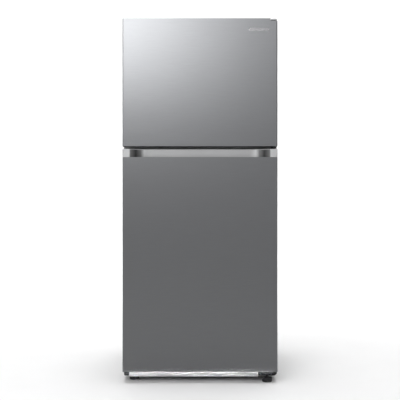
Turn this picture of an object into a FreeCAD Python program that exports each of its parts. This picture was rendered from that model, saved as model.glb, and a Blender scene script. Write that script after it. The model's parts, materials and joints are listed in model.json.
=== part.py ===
# A top freezer refrigerator as a parametric assembly, in millimetres.
# +Z is up, +X is to the right of someone facing the doors, and the doors face -Y.
# The origin is on the floor, in the middle of the footprint.
import FreeCAD, Part
import math
import os
import re
import Sketcher
from FreeCAD import Placement, Rotation, Vector

# ---------------------------------------------------------------- driving sizes
SIZES = {
    # the whole appliance
    "overall_width": 730, "overall_depth": 740, "overall_height": 1717,
    # doors
    "door_thickness": 60, "gasket_gap": 10, "gasket_play": 0.5, "door_bottom": 53,
    "freezer_door_height": 602, "door_gap": 13, "door_skin": 0.6, "door_edge_radius": 6,
    "cap_height": 20, "cap_recess": 0.5, "gasket_width": 20, "gasket_inset": 27, "gasket_radius": 8,
    "door_liner_inset": 0.8, "door_liner_margin": 3, "dyke_inset": 10, "dyke_width": 17,
    "dyke_depth": 30, "dyke_margin": 12, "ring_margin": 8,
    "groove_front": 18, "groove_width": 26, "groove_depth": 15, "groove_inset": 10,
    # cabinet walls
    "sheet": 0.7, "liner": 1.5, "front_flange": 18, "side_wall": 55, "top_wall": 47,
    "back_wall": 70, "floor_wall": 55, "base_height": 50, "skirt_bottom": 24,
    "mullion_upper": 41.5, "mullion_lower": 46.5, "mullion_cover": 28,
    "machine_depth": 220, "machine_height": 290, "step_wall": 45,
    # hinges
    "hinge_side_inset": 15, "hinge_front_inset": 20, "hinge_plate": 5, "hinge_flange": 3,
    "pin_radius": 4, "pin_play": 0.06, "pin_length": 18, "bush_wall": 2, "hinge_nose": 14,
    "hinge_arm_inset": 3, "hinge_block": 27, "hinge_reach": 70, "hinge_foot": 8,
    "hinge_cover_height": 20, "hinge_cover_wall": 2, "hinge_cover_side": 36, "hinge_cover_front": 4,
    "hinge_cover_reach": 96, "hinge_cover_play": 0.3, "notch_depth": 12, "notch_play": 4,
    "mullion_flange": 28, "bottom_plate_drop": 11, "bottom_plate_radius": 12, "flange_radius": 6,
    # recessed grip along the top of the lower door
    "grip_height": 38, "grip_depth": 32, "grip_end": 30, "grip_scoop": 100, "grip_pocket": 20,
    "grip_lip": 4, "trim_root": 28,
    # door shelves
    "bin_play": 1.5, "bin_depth": 94, "bin_wall": 2, "bin_height": 92, "bin_radius": 12,
    "bin_clearance": 1, "bin_lift": 8, "bottle_bin_height": 122, "packet_bin_height": 112,
    "freezer_bin_rise": 250,
    "dairy_width": 250, "dairy_height": 95, "dairy_drop": 140, "dairy_gap": 4,
    "lid_thickness": 2.4, "lid_play": 0.5, "lid_setback": 6, "lid_barrel": 3.5, "lid_pin": 2,
    "lug_depth": 12, "lug_below": 10, "lug_above": 5,
    # shelves inside the cabinet
    "shelf_front_gap": 120, "shelf_play": 2, "shelf_frame": 12, "shelf_rim": 22, "shelf_back_play": 3,
    "shelf_radius": 4, "pane_inset": 14, "glass": 4, "ledge_width": 7, "ledge_height": 6,
    "ledge_setback": 10, "ledge_end": 40, "freezer_ledge_end": 20,
    # crispers
    "crisper_play": 8, "crisper_front_gap": 133, "crisper_height": 180, "crisper_wall": 2.5,
    "crisper_middle": 8, "crisper_lift": 0.6, "crisper_back_play": 10, "crisper_panel": 6,
    "crisper_panel_rise": 16, "crisper_radius": 14, "crisper_panel_radius": 3, "pull_side": 60,
    "pull_height": 16, "pull_depth": 4, "pull_drop": 2,
    # feet and rollers
    "foot_radius": 23, "foot_height": 20, "foot_collar": 4, "stem_radius": 5, "stem_play": 0.05,
    "rail_bottom": 26, "rail_width": 30, "rail_sheet": 2, "rail_bar": 46, "foot_inset": 49,
    "foot_setback": 23, "right_foot_inset": 46, "right_foot_proud": 30,
    "bracket_depth": 9, "bracket_gap": 0.4, "roller_radius": 20, "roller_width": 16,
    "roller_setback": 70, "roller_inset": 58, "roller_well": 4, "cheek_gap": 1.6, "cheek_sheet": 2,
    "cheek_half": 25, "cheek_bottom": 11, "axle_radius": 4, "axle_play": 0.06, "axle_end": 5,
    # toe strip
    "toe_bottom": 17, "toe_top": 60, "toe_depth": 6, "toe_sheet": 2, "toe_bevel": 3,
    "toe_left": 26, "toe_right": 88,
    # cold side
    "cover_depth": 65, "cover_panel": 2, "cover_play": 1, "fan_radius": 48, "fan_hub": 15,
    "fan_depth": 22, "fan_blades": 5, "fan_setback": 6, "fan_drop": 95, "blade_sheet": 1.8,
    "motor_radius": 22, "motor_length": 22, "motor_arm": 70, "arm_sheet": 4, "arm_width": 10,
    "vent_pitch": 60, "vent_row": 14, "vent_width": 44, "vent_height": 6,
    "return_pitch": 70, "return_width": 56, "return_height": 6, "return_rise": 14,
    "duct_width": 120, "duct_depth": 26, "duct_wall": 3, "duct_face": 2.5, "duct_radius": 8,
    "duct_low_gap": 20, "duct_top_gap": 4, "duct_slot_width": 76, "duct_slot_height": 5,
    "duct_slot_pitch": 12,
    "evaporator_rows": 6, "evaporator_pitch": 28, "evaporator_tube": 4, "evaporator_inset": 60,
    "evaporator_rise": 45, "evaporator_setback": 34, "fin_pitch": 15, "fin_sheet": 0.4, "fin_depth": 44,
    # lamps and controls
    "lamp_half": 70, "lamp_front": 40, "lamp_length": 36, "lamp_height": 9, "lens_half": 60,
    "lens_front": 40, "lens_length": 60, "lens_depth": 5, "lens_proud": 2,
    "control_setback": 112, "control_width": 300, "control_length": 120, "control_half_height": 20,
    "control_drop": 22, "control_radius": 8, "dial_radius": 17, "dial_depth": 12, "dial_spacing": 110,
    "dial_gap": 0.4, "dial_ridge": 4, "dial_ridge_half": 3, "stem_hold": 6, "stem_reach": 4,
    # warm side
    "compressor_radius": 78, "compressor_height": 168, "compressor_side": 190, "compressor_back": 115,
    "compressor_belt": 6, "compressor_flat": 0.86, "relay_width": 62, "relay_half": 26,
    "foot_plate_half_length": 92, "foot_plate_half_width": 62, "foot_plate_sheet": 3,
    "grommet_height": 16, "grommet_radius": 9, "grommet_x": 80, "grommet_y": 50,
    "post_x": 40, "post_y": 30, "post_half": 6, "post_height": 42,
    "tube_radius": 3, "condenser_rows": 5, "condenser_pitch": 28, "condenser_left": 90,
    "condenser_right": 70, "condenser_rise": 62, "condenser_front": 120, "condenser_layer": 30,
    "condenser_fan_radius": 62, "condenser_fan_hub": 18, "condenser_fan_depth": 20, "condenser_fan_blades": 5,
    "condenser_fan_rise": 130, "shroud_left": 60, "shroud_right": 40, "shroud_half": 80,
    "shroud_front": 60, "shroud_sheet": 3, "shroud_ring": 24, "shroud_can": 20,
    "dryer_radius": 9, "dryer_length": 80, "dryer_tail": 14, "dryer_x": -20, "suction_x": -30,
    "suction_rise": 150, "suction_bend": 14, "pan_left": 20, "pan_right": 85, "pan_front": 70,
    "pan_back": 22, "pan_height": 34, "pan_wall": 2, "pan_radius": 10,
    "cover_sheet": 1.2, "cover_margin": 14, "cover_lift": 6, "louvre_rows": 9, "louvre_pitch": 105,
    "louvre_width": 80, "louvre_height": 5, "louvre_row": 15, "louvre_rise": 70,
    "gland_radius": 9, "gland_throat": 4, "gland_length": 14, "gland_side": 60, "gland_drop": 30,
    # fasteners
    "screw_radius": 2.5, "screw_head": 5, "screw_head_height": 2.2, "screw_inset": 30,
    # blank badge on the upper door
    "badge_length": 96, "badge_height": 14, "badge_proud": 1.2, "badge_side": 40, "badge_drop": 46,
    "badge_radius": 3,
    # how the heights of the lower compartment are shared out
    "shelf_one_share": 0.5225, "shelf_two_share": 0.7575, "freezer_shelf_share": 0.47,
    "middle_bin_share": 0.425, "upper_bin_share": 0.745,
    # what a cutting block runs past the faces that it opens
    "past": 1,
}

DERIVED = {
    "half_width": "overall_width / 2",
    "door_front": "-overall_depth / 2 + badge_proud",
    "door_back": "door_front + door_thickness",
    "cabinet_front": "door_back + gasket_gap",
    "cabinet_back": "overall_depth / 2 - screw_head_height",
    "cabinet_top": "overall_height - hinge_cover_height",
    "freezer_door_bottom": "overall_height - freezer_door_height",
    "fridge_door_top": "freezer_door_bottom - door_gap",
    "mullion_middle": "fridge_door_top + door_gap / 2",
    "steel_top": "fridge_door_top - grip_height",
    "hinge_x": "half_width - hinge_side_inset",
    "hinge_y": "door_front + hinge_front_inset",
    "cavity_half": "half_width - side_wall",
    "cavity_back": "cabinet_back - back_wall",
    "freezer_ceiling": "cabinet_top - top_wall",
    "freezer_floor": "mullion_middle + mullion_upper",
    "fridge_ceiling": "mullion_middle - mullion_lower",
    "fridge_floor": "base_height + floor_wall",
    "machine_front": "cabinet_back - machine_depth",
    "step_front": "machine_front - step_wall",
    "step_top": "machine_height + step_wall",
    "bush_radius": "pin_radius + pin_play + bush_wall",
    "dyke_half": "cavity_half - dyke_inset",
    "bin_half": "dyke_half - dyke_width - bin_play",
    "bin_back": "door_back + bin_clearance",
    "bin_front": "door_back + bin_depth",
    "shelf_front": "cabinet_front + shelf_front_gap",
    "shelf_half": "cavity_half - shelf_play",
    "freezer_back": "cavity_back - cover_depth",
    "duct_front": "cavity_back - duct_depth",
    "crisper_front": "cabinet_front + crisper_front_gap",
    "crisper_half": "cavity_half - crisper_play",
    "crisper_bottom": "fridge_floor + crisper_lift",
    "crisper_top": "crisper_bottom + crisper_height",
    "crisper_roof": "step_top + 1",
    "shelf_one": "fridge_floor + shelf_one_share * (fridge_ceiling - fridge_floor)",
    "shelf_two": "fridge_floor + shelf_two_share * (fridge_ceiling - fridge_floor)",
    "freezer_shelf": "freezer_floor + freezer_shelf_share * (freezer_ceiling - freezer_floor)",
    "notch_x": "hinge_x - hinge_nose - notch_play",
    "plate_bottom": "overall_height - notch_depth + 1",
    "roller_y": "cabinet_back - roller_setback",
    "roller_x": "half_width - roller_inset",
    "left_foot_x": "foot_inset - half_width",
    "left_foot_y": "cabinet_front + foot_setback",
    "right_foot_x": "half_width - right_foot_inset",
    "right_foot_y": "cabinet_front - right_foot_proud",
    "control_front": "cabinet_front + control_setback",
    "control_z": "fridge_ceiling - control_drop",
    "fan_z": "freezer_ceiling - fan_drop",
    "rail_floor": "rail_bottom + rail_sheet",
    "compressor_x": "compressor_side - half_width",
    "compressor_y": "cabinet_back - compressor_back",
    "condenser_fan_x": "(shroud_left + half_width - shroud_right) / 2",
    "condenser_fan_z": "rail_bottom + condenser_fan_rise",
    "shroud_y": "machine_front + shroud_front",
    "gland_x": "gland_side - half_width",
    "gland_z": "machine_height - gland_drop",
    "freezer_ring_low": "freezer_floor + ring_margin",
    "freezer_ring_high": "freezer_ceiling - ring_margin",
    "fridge_ring_low": "fridge_floor + ring_margin",
    "fridge_ring_high": "fridge_ceiling - ring_margin",
    "lid_hinge_z": "steel_top - dairy_drop",
    "dairy_low": "lid_hinge_z - dairy_height - dairy_gap",
    "low_bin": "fridge_ring_low + dyke_width + bin_lift",
}

doc = FreeCAD.newDocument("TopFreezerRefrigerator")
sheet = doc.addObject("Spreadsheet::Sheet", "Sizes")
derived = doc.addObject("App::VarSet", "Derived")
probe = doc.addObject("App::VarSet", "Probe")
probe.addProperty("App::PropertyFloat", "Reading")
NODES = []
WORD = re.compile(r"[A-Za-z_]\w*")


def bound(text):
    """The expression with every size name pointed at the object that holds it."""
    def owner(match):
        name = match.group(0)
        if name in SIZES:
            return "Sizes." + name
        return "Derived." + name if name in DERIVED else name
    return WORD.sub(owner, str(text))


def number(text):
    """What an expression comes to now, for shapes that code builds."""
    probe.setExpression("Reading", bound(text))
    probe.recompute()
    return float(probe.Reading)


def fill_sheet():
    for row, (name, value) in enumerate(SIZES.items(), start=1):
        sheet.set(f"A{row}", str(value))
        sheet.setAlias(f"A{row}", name)
    doc.recompute()
    for name, formula in DERIVED.items():
        derived.addProperty("App::PropertyFloat", name)
        derived.setExpression(name, bound(formula))
        doc.recompute()


# ---------------------------------------------------------------- building tools
def node(label, piece):
    """Names a finished sub-part: its label is also its file's name."""
    piece.Label = label
    NODES.append(piece)
    return piece


def fresh(kind, name):
    return doc.addObject(kind, name)


def place(piece, x, y, z):
    for axis, text in zip("xyz", (x, y, z)):
        piece.setExpression(f"Placement.Base.{axis}", bound(text))


def box(x, y, z, name="Block"):
    """A block whose sides are (low, high) pairs of expressions."""
    piece = fresh("Part::Box", name)
    for side, (low, high) in zip(("Length", "Width", "Height"), (x, y, z)):
        piece.setExpression(side, bound(f"({high}) - ({low})"))
    place(piece, x[0], y[0], z[0])
    return piece


TURNS = {"x": Rotation(Vector(0, 1, 0), 90), "y": Rotation(Vector(1, 0, 0), -90), "z": Rotation()}


def rod(axis, start, radius, length, name="Rod"):
    """A cylinder that starts at a point and runs along +axis."""
    piece = fresh("Part::Cylinder", name)
    piece.Placement = Placement(Vector(), TURNS[axis])
    piece.setExpression("Radius", bound(radius))
    piece.setExpression("Height", bound(length))
    place(piece, *start)
    return piece


def fuse(*pieces, name="Fused"):
    joined = fresh("Part::MultiFuse", name)
    joined.Shapes = list(pieces)
    joined.Refine = True
    return joined


def cut(base, *tools, name="Cut"):
    result = fresh("Part::Cut", name)
    result.Base = base
    result.Tool = tools[0] if len(tools) == 1 else fuse(*tools, name="Tools")
    return result


def common(first, second, name="Common"):
    result = fresh("Part::Common", name)
    result.Base, result.Tool = first, second
    return result


def group(*pieces, name="Group"):
    """Separate solids that share one node."""
    result = fresh("Part::Compound", name)
    result.Links = list(pieces)
    return result


def mirrored(piece, name="Mirror"):
    result = fresh("Part::Mirroring", name)
    result.Source = piece
    result.Normal = Vector(1, 0, 0)
    return result


PLANES = {"z": "XY_Plane", "y": "XZ_Plane", "x": "YZ_Plane"}


def sketch_on(body, axis, offset, outlines, circles=()):
    """A fully constrained sketch, square to an axis, of closed outlines and circles."""
    plane = [p for p in body.Origin.OriginFeatures if p.Role == PLANES[axis]][0]
    drawing = body.newObject("Sketcher::SketchObject", "Sketch")
    drawing.AttachmentSupport = [(plane, "")]
    drawing.MapMode = "FlatFace"
    drawing.setExpression("AttachmentOffset.Base.z", bound(offset))
    count = 0
    for outline in outlines:
        spots = [(number(u), number(v)) for u, v in outline]
        corners = len(spots)
        for i in range(corners):
            ends = [Vector(*spots[k % corners], 0) for k in (i, i + 1)]
            drawing.addGeometry(Part.LineSegment(*ends), False)
        for i in range(corners):
            here, after = count + i, count + (i + 1) % corners
            drawing.addConstraint(Sketcher.Constraint("Coincident", here, 2, after, 1))
        for i in range(corners):
            for kind, value, text in zip(("DistanceX", "DistanceY"), spots[i], outline[i]):
                fix(drawing, Sketcher.Constraint(kind, -1, 1, count + i, 1, value), text)
        count += corners
    for u, v, radius in circles:
        centre = Vector(number(u), number(v), 0)
        drawing.addGeometry(Part.Circle(centre, Vector(0, 0, 1), number(radius)), False)
        for kind, value, text in zip(("DistanceX", "DistanceY"), centre, (u, v)):
            fix(drawing, Sketcher.Constraint(kind, -1, 1, count, 3, value), text)
        fix(drawing, Sketcher.Constraint("Radius", count, number(radius)), radius)
        count += 1
    return drawing


def fix(drawing, constraint, text):
    index = drawing.addConstraint(constraint)
    drawing.setExpression(f"Constraints[{index}]", bound(text))


def profile(axis, low, high, outlines, circles=(), name="Profile"):
    """A body: outlines square to an axis, padded from low to high along it."""
    body = fresh("PartDesign::Body", name)
    offset = f"-({high})" if axis == "y" else low
    drawing = sketch_on(body, axis, offset, outlines, circles)
    pad = body.newObject("PartDesign::Pad", "Pad")
    pad.Profile = drawing
    pad.setExpression("Length", bound(f"({high}) - ({low})"))
    doc.recompute()
    return body


def rounded(body, radius, wanted):
    """Rounds the edges that wanted(middle, direction) picks."""
    base = body.Tip
    names = []
    for i, edge in enumerate(base.Shape.Edges, start=1):
        middle = edge.valueAt((edge.FirstParameter + edge.LastParameter) / 2)
        if wanted(middle, edge.tangentAt(edge.FirstParameter)):
            names.append(f"Edge{i}")
    fillet = body.newObject("PartDesign::Fillet", "Fillet")
    fillet.Base = (base, names)
    fillet.setExpression("Radius", bound(radius))
    body.Tip = fillet
    doc.recompute()
    return body


def rectangle(u, v):
    return [(u[0], v[0]), (u[1], v[0]), (u[1], v[1]), (u[0], v[1])]


def along(axis):
    """Picks the edges that run along an axis."""
    index = "xyz".index(axis)
    return lambda middle, way: abs(way[index]) > 0.99


def soft_block(x, y, z, radius, axis="z", name="SoftBlock"):
    """A block whose edges along one axis are rounded."""
    sides = {"x": (y, z, x), "y": (x, z, y), "z": (x, y, z)}[axis]
    body = profile(axis, sides[2][0], sides[2][1], [rectangle(sides[0], sides[1])], name=name)
    return rounded(body, radius, along(axis))


def inset(pair, amount):
    return (f"({pair[0]}) + ({amount})", f"({pair[1]}) - ({amount})")


def raised(pair, low, high):
    return (f"({pair[0]}) + ({low})", f"({pair[1]}) + ({high})")


def tray(x, y, z, wall, radius, name="Tray"):
    """An open box with rounded upright corners."""
    outside = soft_block(x, y, z, radius)
    hollow = soft_block(inset(x, wall), inset(y, wall), raised(z, wall, "1"), f"{radius} - {wall}")
    return cut(outside, hollow, name=name)


def both(text):
    """A pair of expressions either side of the middle."""
    return (f"-({text})", f"{text}")


def pipe(points, bend, radius):
    """A round tube along straight runs joined by tangent arcs."""
    edges, here = [], points[0]
    for before, corner, after in zip(points, points[1:], points[2:]):
        into = (corner - before).normalize()
        out = (after - corner).normalize()
        turn = into.getAngle(out)
        reach = bend * math.tan(turn / 2)
        start, end = corner - into * reach, corner + out * reach
        middle = corner + (out - into).normalize() * (bend / math.cos(turn / 2) - bend)
        edges += [Part.LineSegment(here, start).toShape(), Part.Arc(start, middle, end).toShape()]
        here = end
    edges.append(Part.LineSegment(here, points[-1]).toShape())
    path = Part.Wire(edges)
    circle = Part.Circle(points[0], (points[1] - points[0]).normalize(), radius)
    return path.makePipeShell([Part.Wire([circle.toShape()])], True, True)


def coded(shape, name, where=Placement()):
    """Holds a shape that code has made."""
    piece = fresh("Part::Feature", name)
    piece.Shape = shape
    piece.Placement = where
    return piece


# ---------------------------------------------------------------- cabinet
def cabinet_panels():
    edge, inner = "half_width", "half_width - sheet"
    lip = "half_width - front_flange"
    plan = [(lip, "cabinet_front"), (edge, "cabinet_front"), (edge, "cabinet_back"),
            (inner, "cabinet_back"), (inner, "cabinet_front + sheet"), (lip, "cabinet_front + sheet")]
    right = profile("z", "skirt_bottom", "cabinet_top", [plan], name="SidePanel")
    plate = box(both(inner), ("cabinet_front", "cabinet_back"), ("cabinet_top - sheet", "cabinet_top"))
    turned = box(both(lip), ("cabinet_front", "cabinet_front + sheet"),
                 ("cabinet_top - front_flange", "cabinet_top - sheet"))
    node("outer_case", group(right, fuse(plate, turned), mirrored(right)))
    node("back_panel", box(both(inner), ("cabinet_back - sheet", "cabinet_back"),
                           ("machine_height", "cabinet_top - sheet")))
    node("mullion_cover", box(both(lip), ("cabinet_front", "cabinet_front + sheet"),
                              ("mullion_middle - mullion_cover / 2", "mullion_middle + mullion_cover / 2")))
    start, wall, low = "cabinet_front + liner", "machine_front", "base_height"
    end = "cabinet_back - cover_sheet"
    bends = [(start, low), (wall, low), (wall, "machine_height"), (end, "machine_height"),
             (end, "machine_height - sheet"), (f"{wall} + sheet", "machine_height - sheet"),
             (f"{wall} + sheet", f"{low} - sheet"), (start, f"{low} - sheet")]
    node("bottom_bulkhead", profile("x", f"-({inner})", inner, [bends]))


def fridge_outline(grow, front):
    """The side view of the lower compartment, with the step over the compressor."""
    low, high = f"fridge_floor - {grow}", f"fridge_ceiling + {grow}"
    step, back = f"step_front + {grow}", f"cavity_back + {grow}"
    return [(front, low), (step, low), (step, f"step_top - {grow}"),
            (back, f"step_top - {grow}"), (back, high), (front, high)]


def cabinet_liners():
    half, front = "cavity_half", "cabinet_front"
    outer_half = "cavity_half + liner"
    lip = "half_width - front_flange"
    ahead = f"{front} - past"

    def freezer_space(grow, start):
        return box(both(f"{half} + {grow}"), (start, f"cavity_back + {grow}"),
                   (f"freezer_floor - {grow}", f"freezer_ceiling + {grow}"))

    def fridge_space(grow, start):
        return profile("x", f"-({half} + {grow})", f"{half} + {grow}", [fridge_outline(grow, start)])

    freezer_face = box(both(lip), (front, f"{front} + liner"),
                       ("mullion_middle + mullion_cover / 2", "cabinet_top - front_flange"))
    freezer = cut(fuse(freezer_space("liner", front), freezer_face), freezer_space("0", ahead))
    fridge_face = box(both(lip), (front, f"{front} + liner"),
                      ("base_height", "mullion_middle - mullion_cover / 2"))
    fridge = cut(fuse(fridge_space("liner", front), fridge_face), fridge_space("0", ahead))
    shelf_end, freezer_end = "cavity_back - ledge_end", "freezer_back - freezer_ledge_end"
    ledges = ledge_pair("shelf_one", shelf_end) + ledge_pair("shelf_two", shelf_end)
    node("fridge_liner", fuse(fridge, *ledges))
    node("freezer_liner", fuse(freezer, *ledge_pair("freezer_shelf", freezer_end)))
    shell = box(both("half_width - sheet"), (f"{front} + liner", "cabinet_back - sheet"),
                ("base_height", "cabinet_top - sheet"))
    machine = box(both(f"{outer_half} + side_wall"), ("machine_front", "cabinet_back"),
                  ("base_height - past", "machine_height"))
    node("foam_insulation", cut(shell, machine, freezer_space("liner", ahead), fridge_space("liner", ahead)))


def ledge_pair(height, back):
    """The two ribs on the liner's walls that a shelf's sides rest on."""
    y, z = ("shelf_front + ledge_setback", back), (f"{height} - ledge_height", height)
    return [box(("cavity_half - ledge_width", "cavity_half"), y, z),
            box(("-cavity_half", "-cavity_half + ledge_width"), y, z)]


def framed_shelf(height, back, opening_back=None):
    """A glass pane and the moulded frame that it is let into."""
    x, y = both("shelf_half"), ("shelf_front", back)
    top = f"{height} + shelf_frame"
    outside = soft_block(x, y, (height, top), "shelf_radius")
    pane_x, pane_y = inset(x, "pane_inset"), inset(y, "pane_inset")
    seat = box(pane_x, pane_y, (f"{top} - glass", f"{top} + past"))
    opening_y = ("shelf_front + shelf_rim", opening_back or f"{back} - shelf_rim")
    through = box(inset(x, "shelf_rim"), opening_y, (f"{height} - past", top))
    return cut(outside, seat, through), box(pane_x, pane_y, (f"{top} - glass", top))


def shelves():
    fridge_end, freezer_end = "duct_front - shelf_back_play", "freezer_back - shelf_back_play"
    pairs = [framed_shelf("shelf_one", fridge_end), framed_shelf("shelf_two", fridge_end),
             framed_shelf("freezer_shelf", freezer_end)]
    roof, roof_pane = framed_shelf("crisper_roof", fridge_end, "step_front - ledge_end / 2")
    frames, panes = zip(*pairs)
    node("shelf_frames", group(*frames))
    post = box(both("(crisper_middle - shelf_back_play) / 2"), ("crisper_front", "step_front"),
               ("fridge_floor", "crisper_roof"))
    node("crisper_cover_frame", fuse(roof, post))
    node("shelf_glass", group(*panes, roof_pane))


# ---------------------------------------------------------------- crispers
def crispers():
    x = ("crisper_middle / 2", "crisper_half")
    front, back = "crisper_front", "step_front - crisper_back_play"
    z = ("crisper_bottom", "crisper_top")
    bowl = tray(x, (f"{front} + crisper_panel", back), z, "crisper_wall", "crisper_radius")
    panel = soft_block(x, (front, f"{front} + crisper_panel"), (z[0], f"{z[1]} + crisper_panel_rise"),
                       "crisper_panel_radius", "y")
    pull = box(inset(x, "pull_side"), (f"{front} - past", f"{front} + pull_depth"),
               (f"{z[1]} - pull_drop - pull_height", f"{z[1]} - pull_drop"))
    right = cut(fuse(bowl, panel), pull)
    node("crisper_right", right)
    node("crisper_left", mirrored(right))


# ---------------------------------------------------------------- cold air
def fan(label, centre, sizes, turn=0):
    """A propeller on an axis along Y: a hub, twisted blades and a bore for the shaft at one end."""
    radius, hub, depth, blades = (number(size) for size in sizes)
    along_y, sheet_size = Vector(0, 1, 0), number("blade_sheet")
    root, twist, chord, bored = 2, 58, depth * 1.1, 0.8
    whole = Part.makeCylinder(hub, depth, Vector(), along_y)
    for i in range(int(blades)):
        start = Vector(hub - root, -sheet_size / 2, -chord / 2)
        blade = Part.makeBox(radius - hub + root, sheet_size, chord, start)
        blade.rotate(Vector(), Vector(1, 0, 0), twist)
        blade.translate(along_y * (depth / 2))
        blade.rotate(Vector(), along_y, i * 360 / blades)
        whole = whole.fuse(blade)
    whole = whole.common(Part.makeCylinder(radius, depth, Vector(), along_y))
    bore = Part.makeCylinder(number("axle_radius + axle_play"), depth * bored,
                             along_y * (depth * (1 - bored)), along_y)
    shape = whole.cut(bore).removeSplitter()
    node(label, coded(shape, "Fan", Placement(centre, Rotation(Vector(0, 0, 1), turn))))


def slot_rows(columns, rows, pitch, width, row_pitch, height, y, low):
    """Cutting blocks for rows of slots, counted either side of the middle."""
    return [box((f"{i} * {pitch} - {width} / 2", f"{i} * {pitch} + {width} / 2"), y,
                (f"{low} + {row} * {row_pitch}", f"{low} + {row} * {row_pitch} + {height}"))
            for row in rows for i in range(-columns, columns + 1)]


def cold_side():
    face, back = "freezer_back", "freezer_back + cover_panel"
    x = both("cavity_half - cover_play")
    z = ("freezer_floor + cover_play", "freezer_ceiling - cover_play")
    panel = soft_block(x, (face, back), z, "shelf_radius + cover_panel", "y")
    inside = box(inset(x, "cover_panel"), (f"{face} - past", "cavity_back"), inset(z, "cover_panel"))
    rim = cut(box(x, (back, "cavity_back - cover_play"), z), inside)
    through = (f"{face} - past", f"{back} + past")
    vents = slot_rows(2, range(-2, 3), "vent_pitch", "vent_width", "vent_row", "vent_height", through,
                      "fan_z - 4")
    returns = slot_rows(3, [1], "return_pitch", "return_width", "return_rise", "return_height", through,
                        "freezer_floor")
    node("evaporator_cover", cut(fuse(panel, rim), *vents, *returns))
    evaporator()
    evaporator_fan()
    air_duct()


def evaporator():
    rows, pitch = int(number("evaporator_rows")), number("evaporator_pitch")
    reach, low = number("cavity_half - evaporator_inset"), number("freezer_floor + evaporator_rise")
    deep = number("freezer_back + evaporator_setback")
    points = []
    for i in range(rows):
        side = reach if i % 2 else -reach
        points += [Vector(side, deep, low + i * pitch), Vector(-side, deep, low + i * pitch)]
    coil = pipe(points, pitch / 2 - 0.1, number("evaporator_tube"))
    thick, depth, spacing = number("fin_sheet"), number("fin_depth"), number("fin_pitch")
    count = int((reach - pitch) // spacing)
    fins = [Part.makeBox(thick, depth, rows * pitch, Vector(i * spacing, deep - depth / 2, low - pitch / 2))
            for i in range(-count, count + 1)]
    node("evaporator_coil", coded(coil.multiFuse(fins).removeSplitter(), "Evaporator"))


def evaporator_fan():
    """The fan behind the cover, with its motor on a shaft and a bracket to the back wall."""
    front = "freezer_back + fan_setback"
    centre = Vector(0, number(front), number("fan_z"))
    fan("evaporator_fan", centre, ("fan_radius", "fan_hub", "fan_depth", "fan_blades"))
    motor, inserted = f"{front} + fan_depth + 1", "fan_depth * 0.75"
    can = rod("y", ("0", motor, "fan_z"), "motor_radius", "motor_length")
    shaft = rod("y", ("0", f"{motor} - {inserted}", "fan_z"), "axle_radius", f"{inserted} + past")
    arm = f"{motor} + 2 * arm_sheet"
    z = ("fan_z - arm_width / 2", "fan_z + arm_width / 2")
    bar = box(both("motor_arm"), (arm, f"{arm} + arm_sheet"), z)
    legs = [box(x, (arm, "cavity_back - cover_play"), z)
            for x in (("motor_arm - arm_sheet", "motor_arm"), ("-motor_arm", "-motor_arm + arm_sheet"))]
    node("evaporator_fan_motor", fuse(can, shaft, bar, *legs))


def air_duct():
    """The tower on the back wall that feeds cold air to each level."""
    x, y = both("duct_width / 2"), ("duct_front", "cavity_back")
    z = ("step_top + duct_low_gap", "fridge_ceiling - duct_top_gap")
    tower = soft_block(x, y, z, "duct_radius")
    hollow = box(inset(x, "duct_wall"), (f"{y[0]} + duct_face", f"{y[1]} + past"), inset(z, "duct_wall"))
    slots = []
    for share in (0.085, 0.427, 0.797):
        start = f"{z[0]} + {share} * ({z[1]} - ({z[0]}))"
        slots += slot_rows(0, range(3), "duct_slot_width", "duct_slot_width", "duct_slot_pitch",
                           "duct_slot_height", (f"{y[0]} - past", f"{y[0]} + duct_face + past"), start)
    node("air_duct", cut(tower, hollow, *slots))


def lamps_and_controls():
    lamp_y = ("cabinet_front + lamp_front", "cabinet_front + lamp_front + lamp_length")
    lamp = soft_block(both("lamp_half"), lamp_y, ("freezer_ceiling - lamp_height", "freezer_ceiling"),
                      "control_radius")
    front, low = "control_front", "control_z - control_half_height"
    housing = soft_block(both("control_width / 2"), (front, f"{front} + control_length"),
                         (low, "fridge_ceiling"), "control_radius")
    lens_y = (f"{front} + lens_front", f"{front} + lens_front + lens_length")
    lens_seat = box(both("lens_half"), lens_y, (f"{low} - past", f"{low} + lens_depth"))
    stems = [rod("y", (f"{side} * dial_spacing", f"{front} - dial_depth + stem_reach", "control_z"),
                 "axle_radius", "dial_depth + stem_hold") for side in (-1, 1)]
    node("control_housing", fuse(cut(housing, lens_seat), *stems))
    lens = box(both("lens_half"), lens_y, (f"{low} - lens_proud", f"{low} + lens_depth"))
    node("lamp_lenses", group(lamp, lens))
    for side, label in ((-1, "fridge_dial"), (1, "freezer_dial")):
        x = f"{side} * dial_spacing"
        start = f"{front} - dial_depth - dial_gap"
        disc = rod("y", (x, start, "control_z"), "dial_radius", "dial_depth")
        ridge = box((f"{x} - dial_ridge_half", f"{x} + dial_ridge_half"),
                    (f"{start} - dial_ridge", f"{start} + past"),
                    ("control_z - dial_radius + 1", "control_z + dial_radius - 1"))
        bore = rod("y", (x, f"{start} + stem_reach", "control_z"), "axle_radius + axle_play", "dial_depth")
        node(label, cut(fuse(disc, ridge), bore))


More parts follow.
